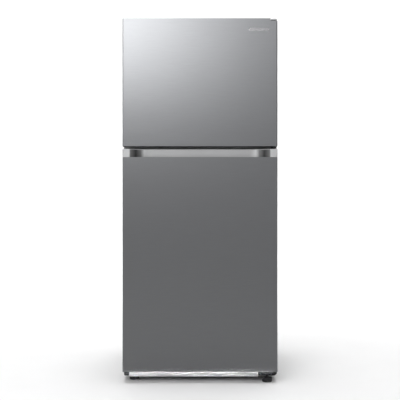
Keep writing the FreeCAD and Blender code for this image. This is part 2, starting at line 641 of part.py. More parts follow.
# ---------------------------------------------------------------- machine compartment
def machine_side():
    base_frame()
    compressor()
    condenser()
    refrigerant_lines()
    x, y = ("pan_left", "half_width - pan_right"), ("machine_front + pan_front", "cabinet_back - pan_back")
    node("drain_pan", tray(x, y, ("rail_floor", "rail_floor + pan_height"), "pan_wall", "pan_radius"))
    z = ("rail_bottom + cover_lift", "machine_height")
    cover = soft_block(both("half_width - cover_margin"), ("cabinet_back - cover_sheet", "cabinet_back"), z,
                       "control_radius", "y")
    through = ("cabinet_back - cover_sheet - past", "cabinet_back + past")
    vents = slot_rows(2, range(int(number("louvre_rows"))), "louvre_pitch", "louvre_width", "louvre_row",
                      "louvre_height", through, f"{z[0]} + louvre_rise")
    inlet = rod("y", ("gland_x", through[0], "gland_z"), "gland_radius", "cover_sheet + 2 * past")
    node("rear_cover", cut(cover, *vents, inlet, *screw_holes(COVER_SCREWS)))
    start = "cabinet_back - gland_length"
    gland = rod("y", ("gland_x", start, "gland_z"), "gland_radius - 0.1", "gland_length")
    throat = rod("y", ("gland_x", f"{start} - past", "gland_z"), "gland_throat", "gland_length + 2 * past")
    node("cord_gland", cut(gland, throat))


def base_frame():
    """Channel rails joined by a front bar and the compressor's plate, with cheeks for the rollers."""
    inner, low, top = "half_width - sheet", "rail_bottom", "base_height - sheet"
    web, lip = f"{inner} - rail_sheet", f"{inner} - rail_width"
    section = [(lip, low), (inner, low), (inner, top), (lip, top), (lip, f"{top} - rail_sheet"),
               (web, f"{top} - rail_sheet"), (web, "rail_floor"), (lip, "rail_floor")]
    start, end = "cabinet_front + 1", "cabinet_back - 2"
    right = profile("y", start, end, [section])
    floor, across = (low, "rail_floor"), both(f"{lip} + past")
    bar = box(across, (start, f"{start} + rail_bar"), floor)
    plate = box(across, ("machine_front + 2", end), floor)
    half_well = "(roller_width / 2 + cheek_gap * 2 - 0.2)"
    wells = [box((f"{side} * roller_x - {half_well}", f"{side} * roller_x + {half_well}"),
                 ("roller_y - roller_radius - roller_well", "roller_y + roller_radius + roller_well"),
                 (f"{low} - past", "rail_floor + past")) for side in (-1, 1)]
    stem = rod("z", ("left_foot_x", "left_foot_y", f"{low} - past"), "stem_radius + stem_play",
               "rail_sheet + 2 * past")
    frame = cut(fuse(right, mirrored(right), bar, plate), *wells, stem)
    half = "roller_width / 2"
    axles = [rod("x", (f"{side} * roller_x - {half} - axle_end", "roller_y", "roller_radius"), "axle_radius",
                 "roller_width + 2 * axle_end") for side in (-1, 1)]
    node("base_frame", group(fuse(frame, *roller_cheeks(top)), *axles))


def roller_cheeks(top):
    """The plates each side of a roller, bored for its axle."""
    reach = "roller_width / 2 + cheek_gap"
    cheeks = []
    for x in ("roller_x", "-roller_x"):
        for start in (f"{x} - ({reach}) - cheek_sheet", f"{x} + {reach}"):
            plate = box((start, f"{start} + cheek_sheet"), ("roller_y - cheek_half", "roller_y + cheek_half"),
                        ("cheek_bottom", top))
            hole = rod("x", (f"{start} - past", "roller_y", "roller_radius"), "axle_radius",
                       "cheek_sheet + 2 * past")
            cheeks.append(cut(plate, hole))
    return cheeks


def dome(height, radius, flat, where):
    """An upright ellipsoid."""
    piece = fresh("Part::Ellipsoid", "Dome")
    for side, text in zip(("Radius1", "Radius2", "Radius3"), (height, radius, flat)):
        piece.setExpression(side, bound(text))
    place(piece, *where)
    return piece


def compressor():
    """A welded pot with a belt seam, its relay box and a foot plate on four grommets."""
    x, y = "compressor_x", "compressor_y"
    plate = "rail_floor + grommet_height"
    middle = f"{plate} + foot_plate_sheet + compressor_height / 2"
    flat = "compressor_radius * compressor_flat"
    pot = dome("compressor_height / 2", "compressor_radius", flat, (x, y, middle))
    belt = dome("compressor_height / 7", "compressor_radius + compressor_belt", f"{flat} + compressor_belt",
                (x, y, middle))
    relay_end = f"{x} - compressor_radius - 14"
    relay = box((relay_end, f"{relay_end} + relay_width"), (f"{y} - relay_half", f"{y} + relay_half"),
                (f"{middle} - relay_half - 6", f"{middle} + relay_half + 2"))
    feet = soft_block((f"{x} - foot_plate_half_length", f"{x} + foot_plate_half_length"),
                      (f"{y} - foot_plate_half_width", f"{y} + foot_plate_half_width"),
                      (plate, f"{plate} + foot_plate_sheet"), "crisper_radius")
    corners = [(i, k) for i in (-1, 1) for k in (-1, 1)]
    posts = [box((f"{x} + {i} * post_x - post_half", f"{x} + {i} * post_x + post_half"),
                 (f"{y} + {k} * post_y - post_half", f"{y} + {k} * post_y + post_half"),
                 (plate, f"{plate} + post_height")) for i, k in corners]
    node("compressor", fuse(pot, belt, relay, feet, *posts))
    grommets = [rod("z", (f"{x} + {i} * grommet_x", f"{y} + {k} * grommet_y", "rail_floor"),
                    "grommet_radius", "grommet_height") for i, k in corners]
    node("compressor_mounts", group(*grommets))


def condenser():
    """Two layers of bent tube behind a fan in its shroud."""
    rows, pitch = int(number("condenser_rows")), number("condenser_pitch")
    ends = [Vector(number("condenser_left"), 0, 0), Vector(number("half_width - condenser_right"), 0, 0)]
    low, front = number("rail_bottom + condenser_rise"), number("machine_front + condenser_front")
    points = []
    for layer in (0, 1):
        rise = range(rows) if layer == 0 else reversed(range(rows))
        for i in rise:
            spot = Vector(0, front + layer * number("condenser_layer"), low + i * pitch)
            turned = (i + layer) % 2
            points += [spot + ends[turned], spot + ends[1 - turned]]
    node("condenser_coil", coded(pipe(points, pitch / 2 - 0.1, number("tube_radius")), "Condenser"))
    x, z = "condenser_fan_x", "condenser_fan_z"
    side, wall = ("shroud_left", "half_width - shroud_right"), ("shroud_y", "shroud_y + shroud_sheet")
    plate = box(side, wall, (f"{z} - shroud_half", f"{z} + shroud_half"))
    foot = box(side, wall, ("rail_floor", f"{z} - shroud_half + past"))
    hole = rod("y", (x, "shroud_y - 10", z), "condenser_fan_radius + 4", "shroud_ring + 26")
    ring = rod("y", (x, "shroud_y", z), "condenser_fan_radius + 8", "shroud_ring")
    can = rod("y", (x, "shroud_y - 4", z), "shroud_can", "8")
    spider = box((f"{x} - condenser_fan_radius - 13", f"{x} + condenser_fan_radius + 13"),
                 ("shroud_y - 2", "shroud_y + 1"), (f"{z} - arm_width / 2", f"{z} + arm_width / 2"))
    shaft = rod("y", (x, "shroud_y", z), "axle_radius", "condenser_fan_hub")
    node("condenser_fan_shroud", fuse(cut(fuse(plate, ring, foot), hole), can, spider, shaft))
    near_end = Vector(number(x), number("shroud_y + condenser_fan_depth + 5"), number(z))
    fan("condenser_fan", near_end, ("condenser_fan_radius", "condenser_fan_hub", "condenser_fan_depth",
                                    "condenser_fan_blades"), turn=180)


def refrigerant_lines():
    """The filter dryer, and the suction line from the compressor up to the evaporator."""
    y, z = "cabinet_back - 40", "rail_bottom + 90"
    dryer = fuse(rod("z", ("dryer_x", y, z), "dryer_radius", "dryer_length"),
                 rod("z", ("dryer_x", y, f"{z} - dryer_tail"), "tube_radius + 0.5",
                     "dryer_length + 2 * dryer_tail"))
    x, deep, front = number("suction_x"), number("compressor_y"), number("machine_front + 30")
    low, high = number("rail_bottom + suction_rise"), number("machine_height - 30")
    path = [Vector(number("compressor_x + 66"), deep, low), Vector(x, deep, low), Vector(x, deep, high),
            Vector(x, front, high), Vector(x, front, number("machine_height - 3"))]
    line = pipe(path, number("suction_bend"), number("tube_radius + 1"))
    node("refrigerant_lines", group(dryer, coded(line, "SuctionLine")))


# ---------------------------------------------------------------- hinges, feet, rollers
def top_hinge():
    z = ("plate_bottom", "plate_bottom + hinge_flange")
    nose_side, arm_back = "hinge_x - hinge_nose", "cabinet_front + hinge_reach"
    nose = rod("z", ("hinge_x", "hinge_y", z[0]), "hinge_nose", "hinge_flange")
    arm = box((f"{nose_side} + hinge_arm_inset", "hinge_x + hinge_nose - hinge_arm_inset"),
              ("hinge_y", arm_back), z)
    block = box((f"{nose_side} - hinge_block - hinge_arm_inset", "hinge_x + hinge_nose - hinge_arm_inset"),
                ("cabinet_front + hinge_foot", arm_back), ("cabinet_top", z[1]))
    pin = rod("z", ("hinge_x", "hinge_y", f"{z[0]} - pin_length"), "pin_radius", "pin_length + past")
    node("top_hinge", cut(fuse(nose, arm, block, pin), *screw_holes(TOP_SCREWS)))
    x = (f"{nose_side} - hinge_cover_side", "hinge_x + hinge_nose + 0.5")
    low, top, neck = f"{z[1]} + hinge_cover_play", "overall_height", "cabinet_front + 10"
    back = "cabinet_front + hinge_cover_reach"
    lid = soft_block(x, ("cabinet_front + hinge_cover_front", back), ("cabinet_top", top), "control_radius")
    nose_lid = fuse(rod("z", ("hinge_x", "hinge_y", low), "hinge_nose", f"{top} - ({low})"),
                    box((nose_side, "hinge_x + hinge_nose"), ("hinge_y", neck), (low, top)))
    hollow = box(inset(x, "hinge_cover_wall"), ("cabinet_front", f"{back} - hinge_cover_wall"),
                 ("cabinet_top - past", f"{top} - hinge_cover_wall"))
    under = box((f"{nose_side} - past", "hinge_x + hinge_nose + past"), ("door_front", neck),
                ("cabinet_top - past", low))
    node("top_hinge_cover", cut(fuse(lid, nose_lid), hollow, under))


def middle_hinge():
    z = ("mullion_middle - hinge_plate / 2", "mullion_middle + hinge_plate / 2")
    nose_radius = "(hinge_nose - 2)"
    nose = rod("z", ("hinge_x", "hinge_y", z[0]), nose_radius, "hinge_plate")
    arm = box((f"hinge_x - {nose_radius}", f"hinge_x + {nose_radius}"), ("hinge_y", "cabinet_front"), z)
    flange = soft_block(("hinge_x - hinge_nose + 4", "half_width - 1"),
                        ("cabinet_front - hinge_flange", "cabinet_front"),
                        ("mullion_middle - mullion_flange", "mullion_middle + mullion_flange"),
                        "shelf_radius", "y")
    pin = rod("z", ("hinge_x", "hinge_y", f"{z[0]} - pin_length"), "pin_radius",
              "2 * pin_length + hinge_plate")
    node("middle_hinge", cut(fuse(nose, arm, flange, pin), *screw_holes(MIDDLE_SCREWS)))


def bottom_hinge():
    low = "door_bottom - bottom_plate_drop"
    z = (low, f"{low} + hinge_plate")
    x = ("half_width - toe_right + bracket_gap", "half_width - 3")
    flange = soft_block(x, ("cabinet_front - hinge_flange", "cabinet_front"),
                        ("toe_bottom + 4", "door_bottom - 3"), "flange_radius", "y")
    outline = rectangle((f"{x[0]} + 6", "half_width - 2"), ("hinge_y - hinge_nose", "cabinet_front - 1"))
    plate = rounded(profile("z", *z, [outline]), "bottom_plate_radius",
                    lambda middle, way: abs(way.z) > 0.99 and middle.y < number("hinge_y"))
    stem = rod("z", ("right_foot_x", "right_foot_y", f"{low} - past"), "stem_radius + stem_play",
               "hinge_plate + 2 * past")
    pin = rod("z", ("hinge_x", "hinge_y", z[1]), "pin_radius", "pin_length + 6")
    node("bottom_hinge", fuse(cut(fuse(flange, plate), stem, *screw_holes(BOTTOM_SCREWS)), pin))
    node("foot_bracket_left", soft_block(("-half_width + 3", "-half_width + toe_left - bracket_gap"),
                                         ("cabinet_front - bracket_depth", "cabinet_front"),
                                         ("toe_bottom + 5", "door_bottom - 2"), "flange_radius - 1", "y"))


def foot(label, x, y, stem_top):
    """A levelling foot: a round pad, a collar and a stem."""
    pad = rod("z", (x, y, "0"), "foot_radius", "foot_height")
    collar = rod("z", (x, y, "foot_height - 0.1"), "stem_radius + foot_collar", "foot_collar")
    stem = rod("z", (x, y, "foot_height"), "stem_radius", f"{stem_top} - foot_height")
    node(label, fuse(pad, collar, stem))


def feet_and_rollers():
    foot("front_foot_left", "left_foot_x", "left_foot_y", "base_height - 5")
    foot("front_foot_right", "right_foot_x", "right_foot_y", "door_bottom - 3")
    half = "roller_width / 2"
    for side, label in ((1, "right"), (-1, "left")):
        x = f"{side} * roller_x"
        wheel = rod("x", (f"{x} - {half}", "roller_y", "roller_radius"), "roller_radius", "roller_width")
        bore = rod("x", (f"{x} - {half} - past", "roller_y", "roller_radius"), "axle_radius + axle_play",
                   "roller_width + 2 * past")
        node(f"rear_roller_{label}", cut(wheel, bore))


def toe_strip():
    face, back, inside = "cabinet_front - toe_depth", "cabinet_front", "cabinet_front - toe_depth + toe_sheet"
    low, high = "toe_bottom", "toe_top"
    section = [(face, f"{low} + toe_bevel"), (inside, low), (back, low), (back, f"{low} + toe_sheet"),
               (inside, f"{low} + toe_bevel"), (inside, f"{high} - toe_sheet"), (back, f"{high} - toe_sheet"),
               (back, high), (inside, high), (face, f"{high} - toe_bevel")]
    node("toe_strip", profile("x", "-(half_width - toe_left)", "half_width - toe_right", [section]))


def screw_list(axis, way, length, points):
    """Screws of one kind: axis, which way the heads face, shank length and the heads' undersides."""
    return [(axis, way, length, point) for point in points]


HINGE_FACE = "cabinet_front - hinge_flange"
MIDDLE_SCREWS = screw_list("y", -1, "hinge_flange", [
    ("hinge_x + 3", HINGE_FACE, f"mullion_middle + {side} * 18") for side in (-1, 1)])
BOTTOM_SCREWS = screw_list("y", -1, "hinge_flange", [
    (f"half_width - {offset}", HINGE_FACE, "door_bottom - 22") for offset in (74, 24)])
TOP_SCREWS = screw_list("z", 1, "hinge_flange", [
    (f"hinge_x - {offset}", f"cabinet_front + {deep}", "plate_bottom + hinge_flange")
    for offset, deep in ((34, 20), (34, 56), (4, 56))])
COVER_SCREWS = screw_list("y", 1, "cover_sheet", [
    (f"{column} * (half_width - screw_inset)", "cabinet_back",
     f"rail_bottom + 24 + {row} * (machine_height - 64)")
    for column in (-1, 1) for row in (0, 1)])


def shank(kind):
    axis, way, length, point = kind
    index = "xyz".index(axis)
    start = list(point)
    start[index] = point[index] if way < 0 else f"{point[index]} - {length}"
    return rod(axis, start, "screw_radius", length)


def screw_holes(kinds):
    """The holes that the screws' shanks fill."""
    return [shank(kind) for kind in kinds]


def screw(kind):
    """A pan-head screw."""
    axis, way, _, point = kind
    index = "xyz".index(axis)
    start = list(point)
    if way < 0:
        start[index] = f"{point[index]} - screw_head_height"
    return fuse(rod(axis, start, "screw_head", "screw_head_height"), shank(kind))


def screws():
    kinds = MIDDLE_SCREWS + BOTTOM_SCREWS + TOP_SCREWS + COVER_SCREWS
    node("screws", group(*[screw(kind) for kind in kinds]))


# ---------------------------------------------------------------- doors
def door_space(grow, z, back, radius):
    """The door's outer form, or the same form pulled in: its two front upright edges are rounded."""
    outline = rectangle(both(f"half_width - ({grow})"), (f"door_front + ({grow})", back))
    middle_y = number("(door_front + door_back) / 2")
    return rounded(profile("z", z[0], z[1], [outline]), radius,
                   lambda middle, way: abs(way.z) > 0.99 and middle.y < middle_y)


def door_filling(z):
    """A block that fills the door's skin between two heights."""
    return door_space("door_skin", z, "door_back - liner", "door_edge_radius - door_skin")


def notch():
    """The corner left free for the top hinge."""
    return box(("notch_x", "half_width + past"), ("door_front - past", "door_back + past"),
               ("overall_height - notch_depth", "overall_height + past"))


def skin_shell(z):
    outside = door_space("0", z, "door_back", "door_edge_radius")
    hollow = door_space("door_skin", raised(z, "-past", "past"), "door_back + past",
                        "door_edge_radius - door_skin")
    return cut(outside, hollow)


BUSH_LENGTH = "cap_height - 2"


def bush_at(z):
    """A nylon bush for a hinge pin; z is its lower end."""
    bore = rod("z", ("hinge_x", "hinge_y", f"{z} - past"), "pin_radius + pin_play",
               f"{BUSH_LENGTH} + 2 * past")
    return cut(bush_hole(z), bore)


def bush_hole(z):
    return rod("z", ("hinge_x", "hinge_y", z), "bush_radius", BUSH_LENGTH)


def door_ring(grow, y, low, high):
    """A frame just inside the door opening: the raised dyke of the inner door panel."""
    outside = box(both(f"dyke_half - {grow}"), y, (f"{low} + {grow}", f"{high} - {grow}"))
    hole = box(both(f"dyke_half - dyke_width + {grow}"), raised(y, "-past", "past"),
               (f"{low} + dyke_width - {grow}", f"{high} - dyke_width + {grow}"))
    return cut(outside, hole)


def door_core(prefix, foam_z, liner_z, ring_z):
    """The foam, the inner panel with its dyke, and the gasket of one door."""
    plate_back = "door_back - liner"
    ridge, core_top = (plate_back, "door_back + dyke_depth"), "door_back + dyke_depth - liner"
    node(f"{prefix}_foam", fuse(door_filling(foam_z), door_ring("liner", (plate_back, core_top), *ring_z)))
    plate = soft_block(both("half_width - door_liner_inset"), (plate_back, "door_back"), liner_z,
                       "door_edge_radius", "y")
    hollow = door_ring("liner", (f"{plate_back} - 2 * past", core_top), *ring_z)
    node(f"{prefix}_liner", cut(fuse(plate, door_ring("0", ridge, *ring_z)), hollow))
    seal_z = raised(ring_z, "-dyke_margin - gasket_width", "dyke_margin + gasket_width")
    seal_y = ("door_back", "cabinet_front - gasket_play")
    outside = soft_block(both("half_width - gasket_inset"), seal_y, seal_z, "gasket_radius", "y")
    hole = box(both("half_width - gasket_inset - gasket_width"), raised(seal_y, "-past", "past"),
               inset(seal_z, "gasket_width"))
    node(f"{prefix}_gasket", cut(outside, hole))


def door_bin(low, height="bin_height", x=both("bin_half")):
    """A clear tray between the two upright sides of the dyke."""
    return tray(x, ("bin_back", "bin_front"), (low, f"{low} + {height}"), "bin_wall", "bin_radius")


def freezer_door():
    bottom, top = "freezer_door_bottom", "overall_height"
    node("freezer_door_skin", cut(skin_shell((bottom, top)), notch()))
    bush_low, cap_top = f"{bottom} + cap_recess", f"{bottom} + cap_height"
    top_cap_low = f"{top} - notch_depth - cap_height"
    bush_top = f"{top_cap_low} + 2"
    groove = soft_block(both("cavity_half - groove_inset"),
                        ("door_front + groove_front", "door_front + groove_front + groove_width"),
                        (bottom, f"{bottom} + groove_depth"), "groove_inset")
    bottom_cap = cut(door_filling((bush_low, cap_top)), groove, bush_hole(bush_low))
    top_cap = cut(door_filling((top_cap_low, f"{top} - door_liner_inset")), notch(), bush_hole(bush_top))
    node("freezer_door_caps", group(bottom_cap, top_cap))
    node("freezer_hinge_bushes", group(bush_at(bush_low), bush_at(bush_top)))
    door_core("freezer_door", (cap_top, top_cap_low),
              (f"{bottom} + door_liner_margin", f"{top} - notch_depth - door_liner_margin"),
              ("freezer_ring_low", "freezer_ring_high"))
    inside = "freezer_ring_low + dyke_width"
    node("freezer_bin_lower", door_bin(f"{inside} + bin_lift", "packet_bin_height"))
    node("freezer_bin_upper", door_bin(f"{inside} + freezer_bin_rise"))
    badge_end, badge_top = "half_width - badge_side", f"{top} - badge_drop"
    node("badge", soft_block((f"{badge_end} - badge_length", badge_end),
                             ("door_front - badge_proud", "door_front"),
                             (f"{badge_top} - badge_height", badge_top), "badge_radius", "y"))


def fridge_door():
    bottom, top = "door_bottom", "steel_top"
    node("fridge_door_skin", skin_shell((bottom, top)))
    cap_low, cap_top = f"{bottom} + cap_recess", f"{bottom} + cap_height"
    node("fridge_door_bottom_cap", cut(door_filling((cap_low, cap_top)), bush_hole(cap_low)))
    grip_trim()
    node("fridge_hinge_bushes", group(bush_at(cap_low), bush_at("fridge_door_top - cap_height + 2")))
    door_core("fridge_door", (cap_top, f"{top} - trim_root"),
              (f"{bottom} + door_liner_margin", "fridge_door_top - door_liner_margin"),
              ("fridge_ring_low", "fridge_ring_high"))
    bins = [door_bin("low_bin", "bottle_bin_height")]
    bins += [door_bin(f"low_bin + {share} * (dairy_low - low_bin)")
             for share in ("middle_bin_share", "upper_bin_share")]
    node("fridge_door_bins", group(*bins, dairy_bin()))


def dairy_bin():
    """The covered bin's tray, with lugs for the lid that this also makes."""
    x = ("-bin_half", "-bin_half + dairy_width")
    rim, pivot_y = "lid_hinge_z", "bin_back + lid_setback"
    lug_z = ("dairy_low + dairy_height - lug_below", f"{rim} + lug_above")
    lugs = [box(side, ("bin_back", "bin_back + lug_depth"), lug_z)
            for side in ((x[0], f"{x[0]} + bin_wall"), (f"{x[1]} - bin_wall", x[1]))]
    pin_hole = rod("x", (f"{x[0]} - past", pivot_y, rim), "lid_pin + pin_play", "dairy_width + 2 * past")
    lid_x = inset(x, "bin_wall + lid_play")
    slab = soft_block(lid_x, (pivot_y, "bin_front"), (f"{rim} - 1", f"{rim} - 1 + lid_thickness"),
                      "lid_thickness / 3", "y")
    barrel = rod("x", (lid_x[0], pivot_y, rim), "lid_barrel", "dairy_width - 2 * (bin_wall + lid_play)")
    node("dairy_lid", fuse(slab, barrel, rod("x", (x[0], pivot_y, rim), "lid_pin", "dairy_width")))
    return cut(fuse(door_bin("dairy_low", "dairy_height", x), *lugs), pin_hole)


def grip_trim():
    """The moulded top of the lower door, scooped out so that fingers reach behind its front edge."""
    top, low = "fridge_door_top", "steel_top"
    crown = door_space("0", (low, top), "door_back - liner", "door_edge_radius")
    root = door_filling((f"{low} - trim_root", low))
    end, wall = "half_width - grip_end", "door_front + grip_depth"
    rise = "(grip_depth + 1)"
    radius = f"(grip_scoop * grip_scoop + {rise} * {rise}) / (2 * {rise})"
    span, height = ("door_front - door_thickness", wall), (f"{low} - grip_pocket", f"{top} + past")
    middle = box(both(f"{end} - grip_scoop"), span, height)
    ends = [rod("z", (f"{side} * ({end} - grip_scoop)", f"{wall} - {radius}", height[0]), radius,
                f"({height[1]}) - ({height[0]})") for side in (-1, 1)]
    opening = fuse(box(both(end), span, (low, height[1])),
                   box(both(end), ("door_front + grip_lip", wall), (height[0], f"{low} + past")))
    scooped = common(opening, fuse(middle, *ends))
    node("grip_trim", cut(fuse(crown, root), scooped, bush_hole(f"{top} - cap_height + 2")))


# ---------------------------------------------------------------- build, check and write
def build():
    fill_sheet()
    for section in (cabinet_panels, cabinet_liners, shelves, crispers, cold_side, lamps_and_controls,
                    machine_side, top_hinge, middle_hinge, bottom_hinge, feet_and_rollers, toe_strip, screws,
                    freezer_door, fridge_door):
        section()
    doc.recompute()


def check():
    for piece in doc.Objects:
        faults = [state for state in piece.State if state in ("Invalid", "Error")]
        if faults:
            raise RuntimeError(f"{piece.Label} is {faults}")
    for piece in NODES:
        if piece.Shape.isNull() or not piece.Shape.isValid() or not piece.Shape.Solids:
            raise RuntimeError(f"{piece.Label} has no sound shape")


def write():
    os.makedirs("parts", exist_ok=True)
    for piece in NODES:
        piece.Shape.exportStep(f"parts/{piece.Label}.step")
        print(piece.Label, len(piece.Shape.Solids), round(piece.Shape.Volume / 1000, 1))


build()
check()
write()
print(len(NODES), "nodes")
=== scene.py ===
# The looks of a top freezer refrigerator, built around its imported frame. Metres, +Z up, doors facing -Y.
import json
import math
import bmesh
import bpy
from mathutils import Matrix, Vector


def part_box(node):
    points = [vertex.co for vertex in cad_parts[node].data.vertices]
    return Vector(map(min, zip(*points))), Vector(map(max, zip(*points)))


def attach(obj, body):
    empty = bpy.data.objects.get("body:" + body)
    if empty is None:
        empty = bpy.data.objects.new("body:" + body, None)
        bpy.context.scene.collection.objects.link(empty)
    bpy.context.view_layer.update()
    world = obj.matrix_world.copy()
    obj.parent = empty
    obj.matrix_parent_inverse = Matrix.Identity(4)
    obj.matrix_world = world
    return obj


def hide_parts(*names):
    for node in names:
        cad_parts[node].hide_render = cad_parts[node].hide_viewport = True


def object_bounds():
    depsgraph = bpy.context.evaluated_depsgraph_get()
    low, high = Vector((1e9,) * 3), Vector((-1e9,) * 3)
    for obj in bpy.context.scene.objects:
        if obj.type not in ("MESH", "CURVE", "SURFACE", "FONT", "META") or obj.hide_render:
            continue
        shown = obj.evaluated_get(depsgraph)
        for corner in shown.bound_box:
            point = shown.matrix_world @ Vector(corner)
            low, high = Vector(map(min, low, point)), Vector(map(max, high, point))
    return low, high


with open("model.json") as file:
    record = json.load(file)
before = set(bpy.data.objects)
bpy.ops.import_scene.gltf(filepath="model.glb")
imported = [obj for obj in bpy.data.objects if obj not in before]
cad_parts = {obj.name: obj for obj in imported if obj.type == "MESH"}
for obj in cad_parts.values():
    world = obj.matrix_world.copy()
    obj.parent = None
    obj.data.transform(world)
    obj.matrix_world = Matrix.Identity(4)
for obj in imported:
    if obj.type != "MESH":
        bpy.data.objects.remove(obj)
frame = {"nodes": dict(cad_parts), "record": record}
cad_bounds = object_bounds()
nodes = frame["nodes"]
scene = bpy.context.scene
MM = 0.001


# ---------------------------------------------------------------- node-tree helpers
def new_material(name):
    """A material with its node tree and its main shader."""
    material = bpy.data.materials.new(name)
    material.use_nodes = True
    tree = material.node_tree
    shader = tree.nodes["Principled BSDF"]
    return material, tree, shader


def add(tree, kind):
    return tree.nodes.new(kind)


def stretched_noise(tree, scale, stretch, detail=3.0, rough=0.6):
    """Noise in object space, drawn out along chosen axes."""
    where = add(tree, "ShaderNodeTexCoord")
    squeeze = add(tree, "ShaderNodeMapping")
    squeeze.inputs["Scale"].default_value = stretch
    noise = add(tree, "ShaderNodeTexNoise")
    noise.inputs["Scale"].default_value = scale
    noise.inputs["Detail"].default_value = detail
    noise.inputs["Roughness"].default_value = rough
    tree.links.new(where.outputs["Object"], squeeze.inputs["Vector"])
    tree.links.new(squeeze.outputs["Vector"], noise.inputs["Vector"])
    return noise.outputs["Fac"]


def ramp(tree, source, stops):
    """Colours along a 0 to 1 value; stops are (place, colour)."""
    made = add(tree, "ShaderNodeValToRGB")
    points = made.color_ramp.elements
    while len(points) < len(stops):
        points.new(0.5)
    for point, (place, colour) in zip(points, stops):
        point.position = place
        point.color = (*colour, 1.0)
    tree.links.new(source, made.inputs["Fac"])
    return made.outputs["Color"]


def spread(tree, source, low, high):
    """A 0 to 1 value carried to a range."""
    made = add(tree, "ShaderNodeMapRange")
    made.inputs["To Min"].default_value = low
    made.inputs["To Max"].default_value = high
    tree.links.new(source, made.inputs["Value"])
    return made.outputs["Result"]


def blend(tree, factor, first, second, kind="MIX"):
    """Two colours, sockets or plain values, mixed by a factor socket."""
    made = add(tree, "ShaderNodeMix")
    made.data_type = "RGBA"
    made.blend_type = kind
    tree.links.new(factor, made.inputs["Factor"])
    colours = [socket for socket in made.inputs if socket.type == "RGBA"]
    for socket, colour in zip(colours, (first, second)):
        if isinstance(colour, tuple):
            socket.default_value = colour
        else:
            tree.links.new(colour, socket)
    return next(socket for socket in made.outputs if socket.type == "RGBA")


def bump(tree, shader, source, strength, distance):
    """Raises the surface by a 0 to 1 value."""
    made = add(tree, "ShaderNodeBump")
    made.inputs["Strength"].default_value = strength
    made.inputs["Distance"].default_value = distance
    tree.links.new(source, made.inputs["Height"])
    tree.links.new(made.outputs["Normal"], shader.inputs["Normal"])


def shade(colour, factor):
    return tuple(c * factor for c in colour)


# ---------------------------------------------------------------- materials
def brushed_steel(name, colour, rough, grain=1.0):
    """Sheet brushed along X: long fine lines in height, tone and roughness, under a clear film."""
    material, tree, shader = new_material(name)
    fine = stretched_noise(tree, 900.0, (0.012, 1.0, 1.0), 5.0, 0.7)
    coarse = stretched_noise(tree, 160.0, (0.02, 1.0, 1.0), 3.0, 0.6)
    contrast = 0.05 * grain
    tone = ramp(tree, fine, [(0.30, shade(colour, 1 - contrast)), (0.70, shade(colour, 1 + contrast))])
    tree.links.new(tone, shader.inputs["Base Color"])
    tree.links.new(spread(tree, coarse, rough - 0.03, rough + 0.03), shader.inputs["Roughness"])
    shader.inputs["Metallic"].default_value = 1.0
    shader.inputs["Anisotropic"].default_value = 0.4
    bump(tree, shader, fine, 0.10 * grain, 0.0003)
    return material


def moulded(name, colour, rough, grain=0.25, scale=900.0, metallic=0.0, coat=0.0):
    """Moulded plastic or paint: a very fine skin texture and slight changes of gloss."""
    material, tree, shader = new_material(name)
    skin = stretched_noise(tree, scale, (1, 1, 1), 2.0, 0.5)
    cloud = stretched_noise(tree, 6.0, (1, 1, 1), 2.0, 0.5)
    tone = ramp(tree, cloud, [(0.35, shade(colour, 0.97)), (0.65, shade(colour, 1.02))])
    tree.links.new(tone, shader.inputs["Base Color"])
    tree.links.new(spread(tree, cloud, rough - 0.04, rough + 0.04), shader.inputs["Roughness"])
    shader.inputs["Metallic"].default_value = metallic
    shader.inputs["Coat Weight"].default_value = coat
    bump(tree, shader, skin, grain, 0.0002)
    return material


def grip_silver_painted_shade(front, top, depth):
    """Silver paint with painted shade between the grip's front and back wall, below the trim's top edge."""
    top_edge = 0.0015
    material = moulded("grip_silver_painted_shade", (0.80, 0.805, 0.81), 0.30, 0.12, metallic=0.45)
    tree = material.node_tree
    shader = tree.nodes["Principled BSDF"]
    paint = shader.inputs["Base Color"].links[0].from_socket
    where = add(tree, "ShaderNodeTexCoord")
    parts = add(tree, "ShaderNodeSeparateXYZ")
    tree.links.new(where.outputs["Object"], parts.inputs["Vector"])
    inward = add(tree, "ShaderNodeMapRange")
    inward.inputs["From Min"].default_value = front
    inward.inputs["From Max"].default_value = front + depth
    tree.links.new(parts.outputs["Y"], inward.inputs["Value"])
    # painted shade by depth into the grip: darkest midway between front and back wall, paint untouched just
    # before the back wall, a little dark on it
    painted_recess_shade = ramp(tree, inward.outputs["Result"], [
        (0.02, (0.9, 0.9, 0.9)), (0.12, (0.30, 0.30, 0.30)), (0.55, (0.06, 0.06, 0.06)),
        (0.80, (0.30, 0.30, 0.30)), (0.92, (1.0, 1.0, 1.0)), (1.0, (0.88, 0.88, 0.88))])
    below = add(tree, "ShaderNodeMath")
    below.operation = "LESS_THAN"
    below.inputs[1].default_value = top - top_edge
    tree.links.new(parts.outputs["Z"], below.inputs[0])
    # the painted shade is multiplied into the paint below the trim's top edge
    result = blend(tree, below.outputs["Value"], paint, painted_recess_shade, "MULTIPLY")
    tree.links.new(result, shader.inputs["Base Color"])
    return material


def clear(name, colour, rough, transmission, ior):
    """Glass or clear plastic, with faint clouds in its tint and gloss."""
    material, tree, shader = new_material(name)
    cloud = stretched_noise(tree, 30.0, (1, 1, 1), 2.0, 0.5)
    tone = ramp(tree, cloud, [(0.3, shade(colour, 0.985)), (0.7, colour)])
    tree.links.new(tone, shader.inputs["Base Color"])
    tree.links.new(spread(tree, cloud, rough, rough + 0.03), shader.inputs["Roughness"])
    shader.inputs["Transmission Weight"].default_value = transmission
    shader.inputs["IOR"].default_value = ior
    return material


def foam_material():
    """Poured foam: fine cells."""
    material, tree, shader = new_material("foam")
    cells = stretched_noise(tree, 260.0, (1, 1, 1), 4.0, 0.7)
    tone = ramp(tree, cells, [(0.3, (0.66, 0.55, 0.30)), (0.7, (0.86, 0.76, 0.48))])
    tree.links.new(tone, shader.inputs["Base Color"])
    shader.inputs["Roughness"].default_value = 0.9
    bump(tree, shader, cells, 0.6, 0.001)
    return material


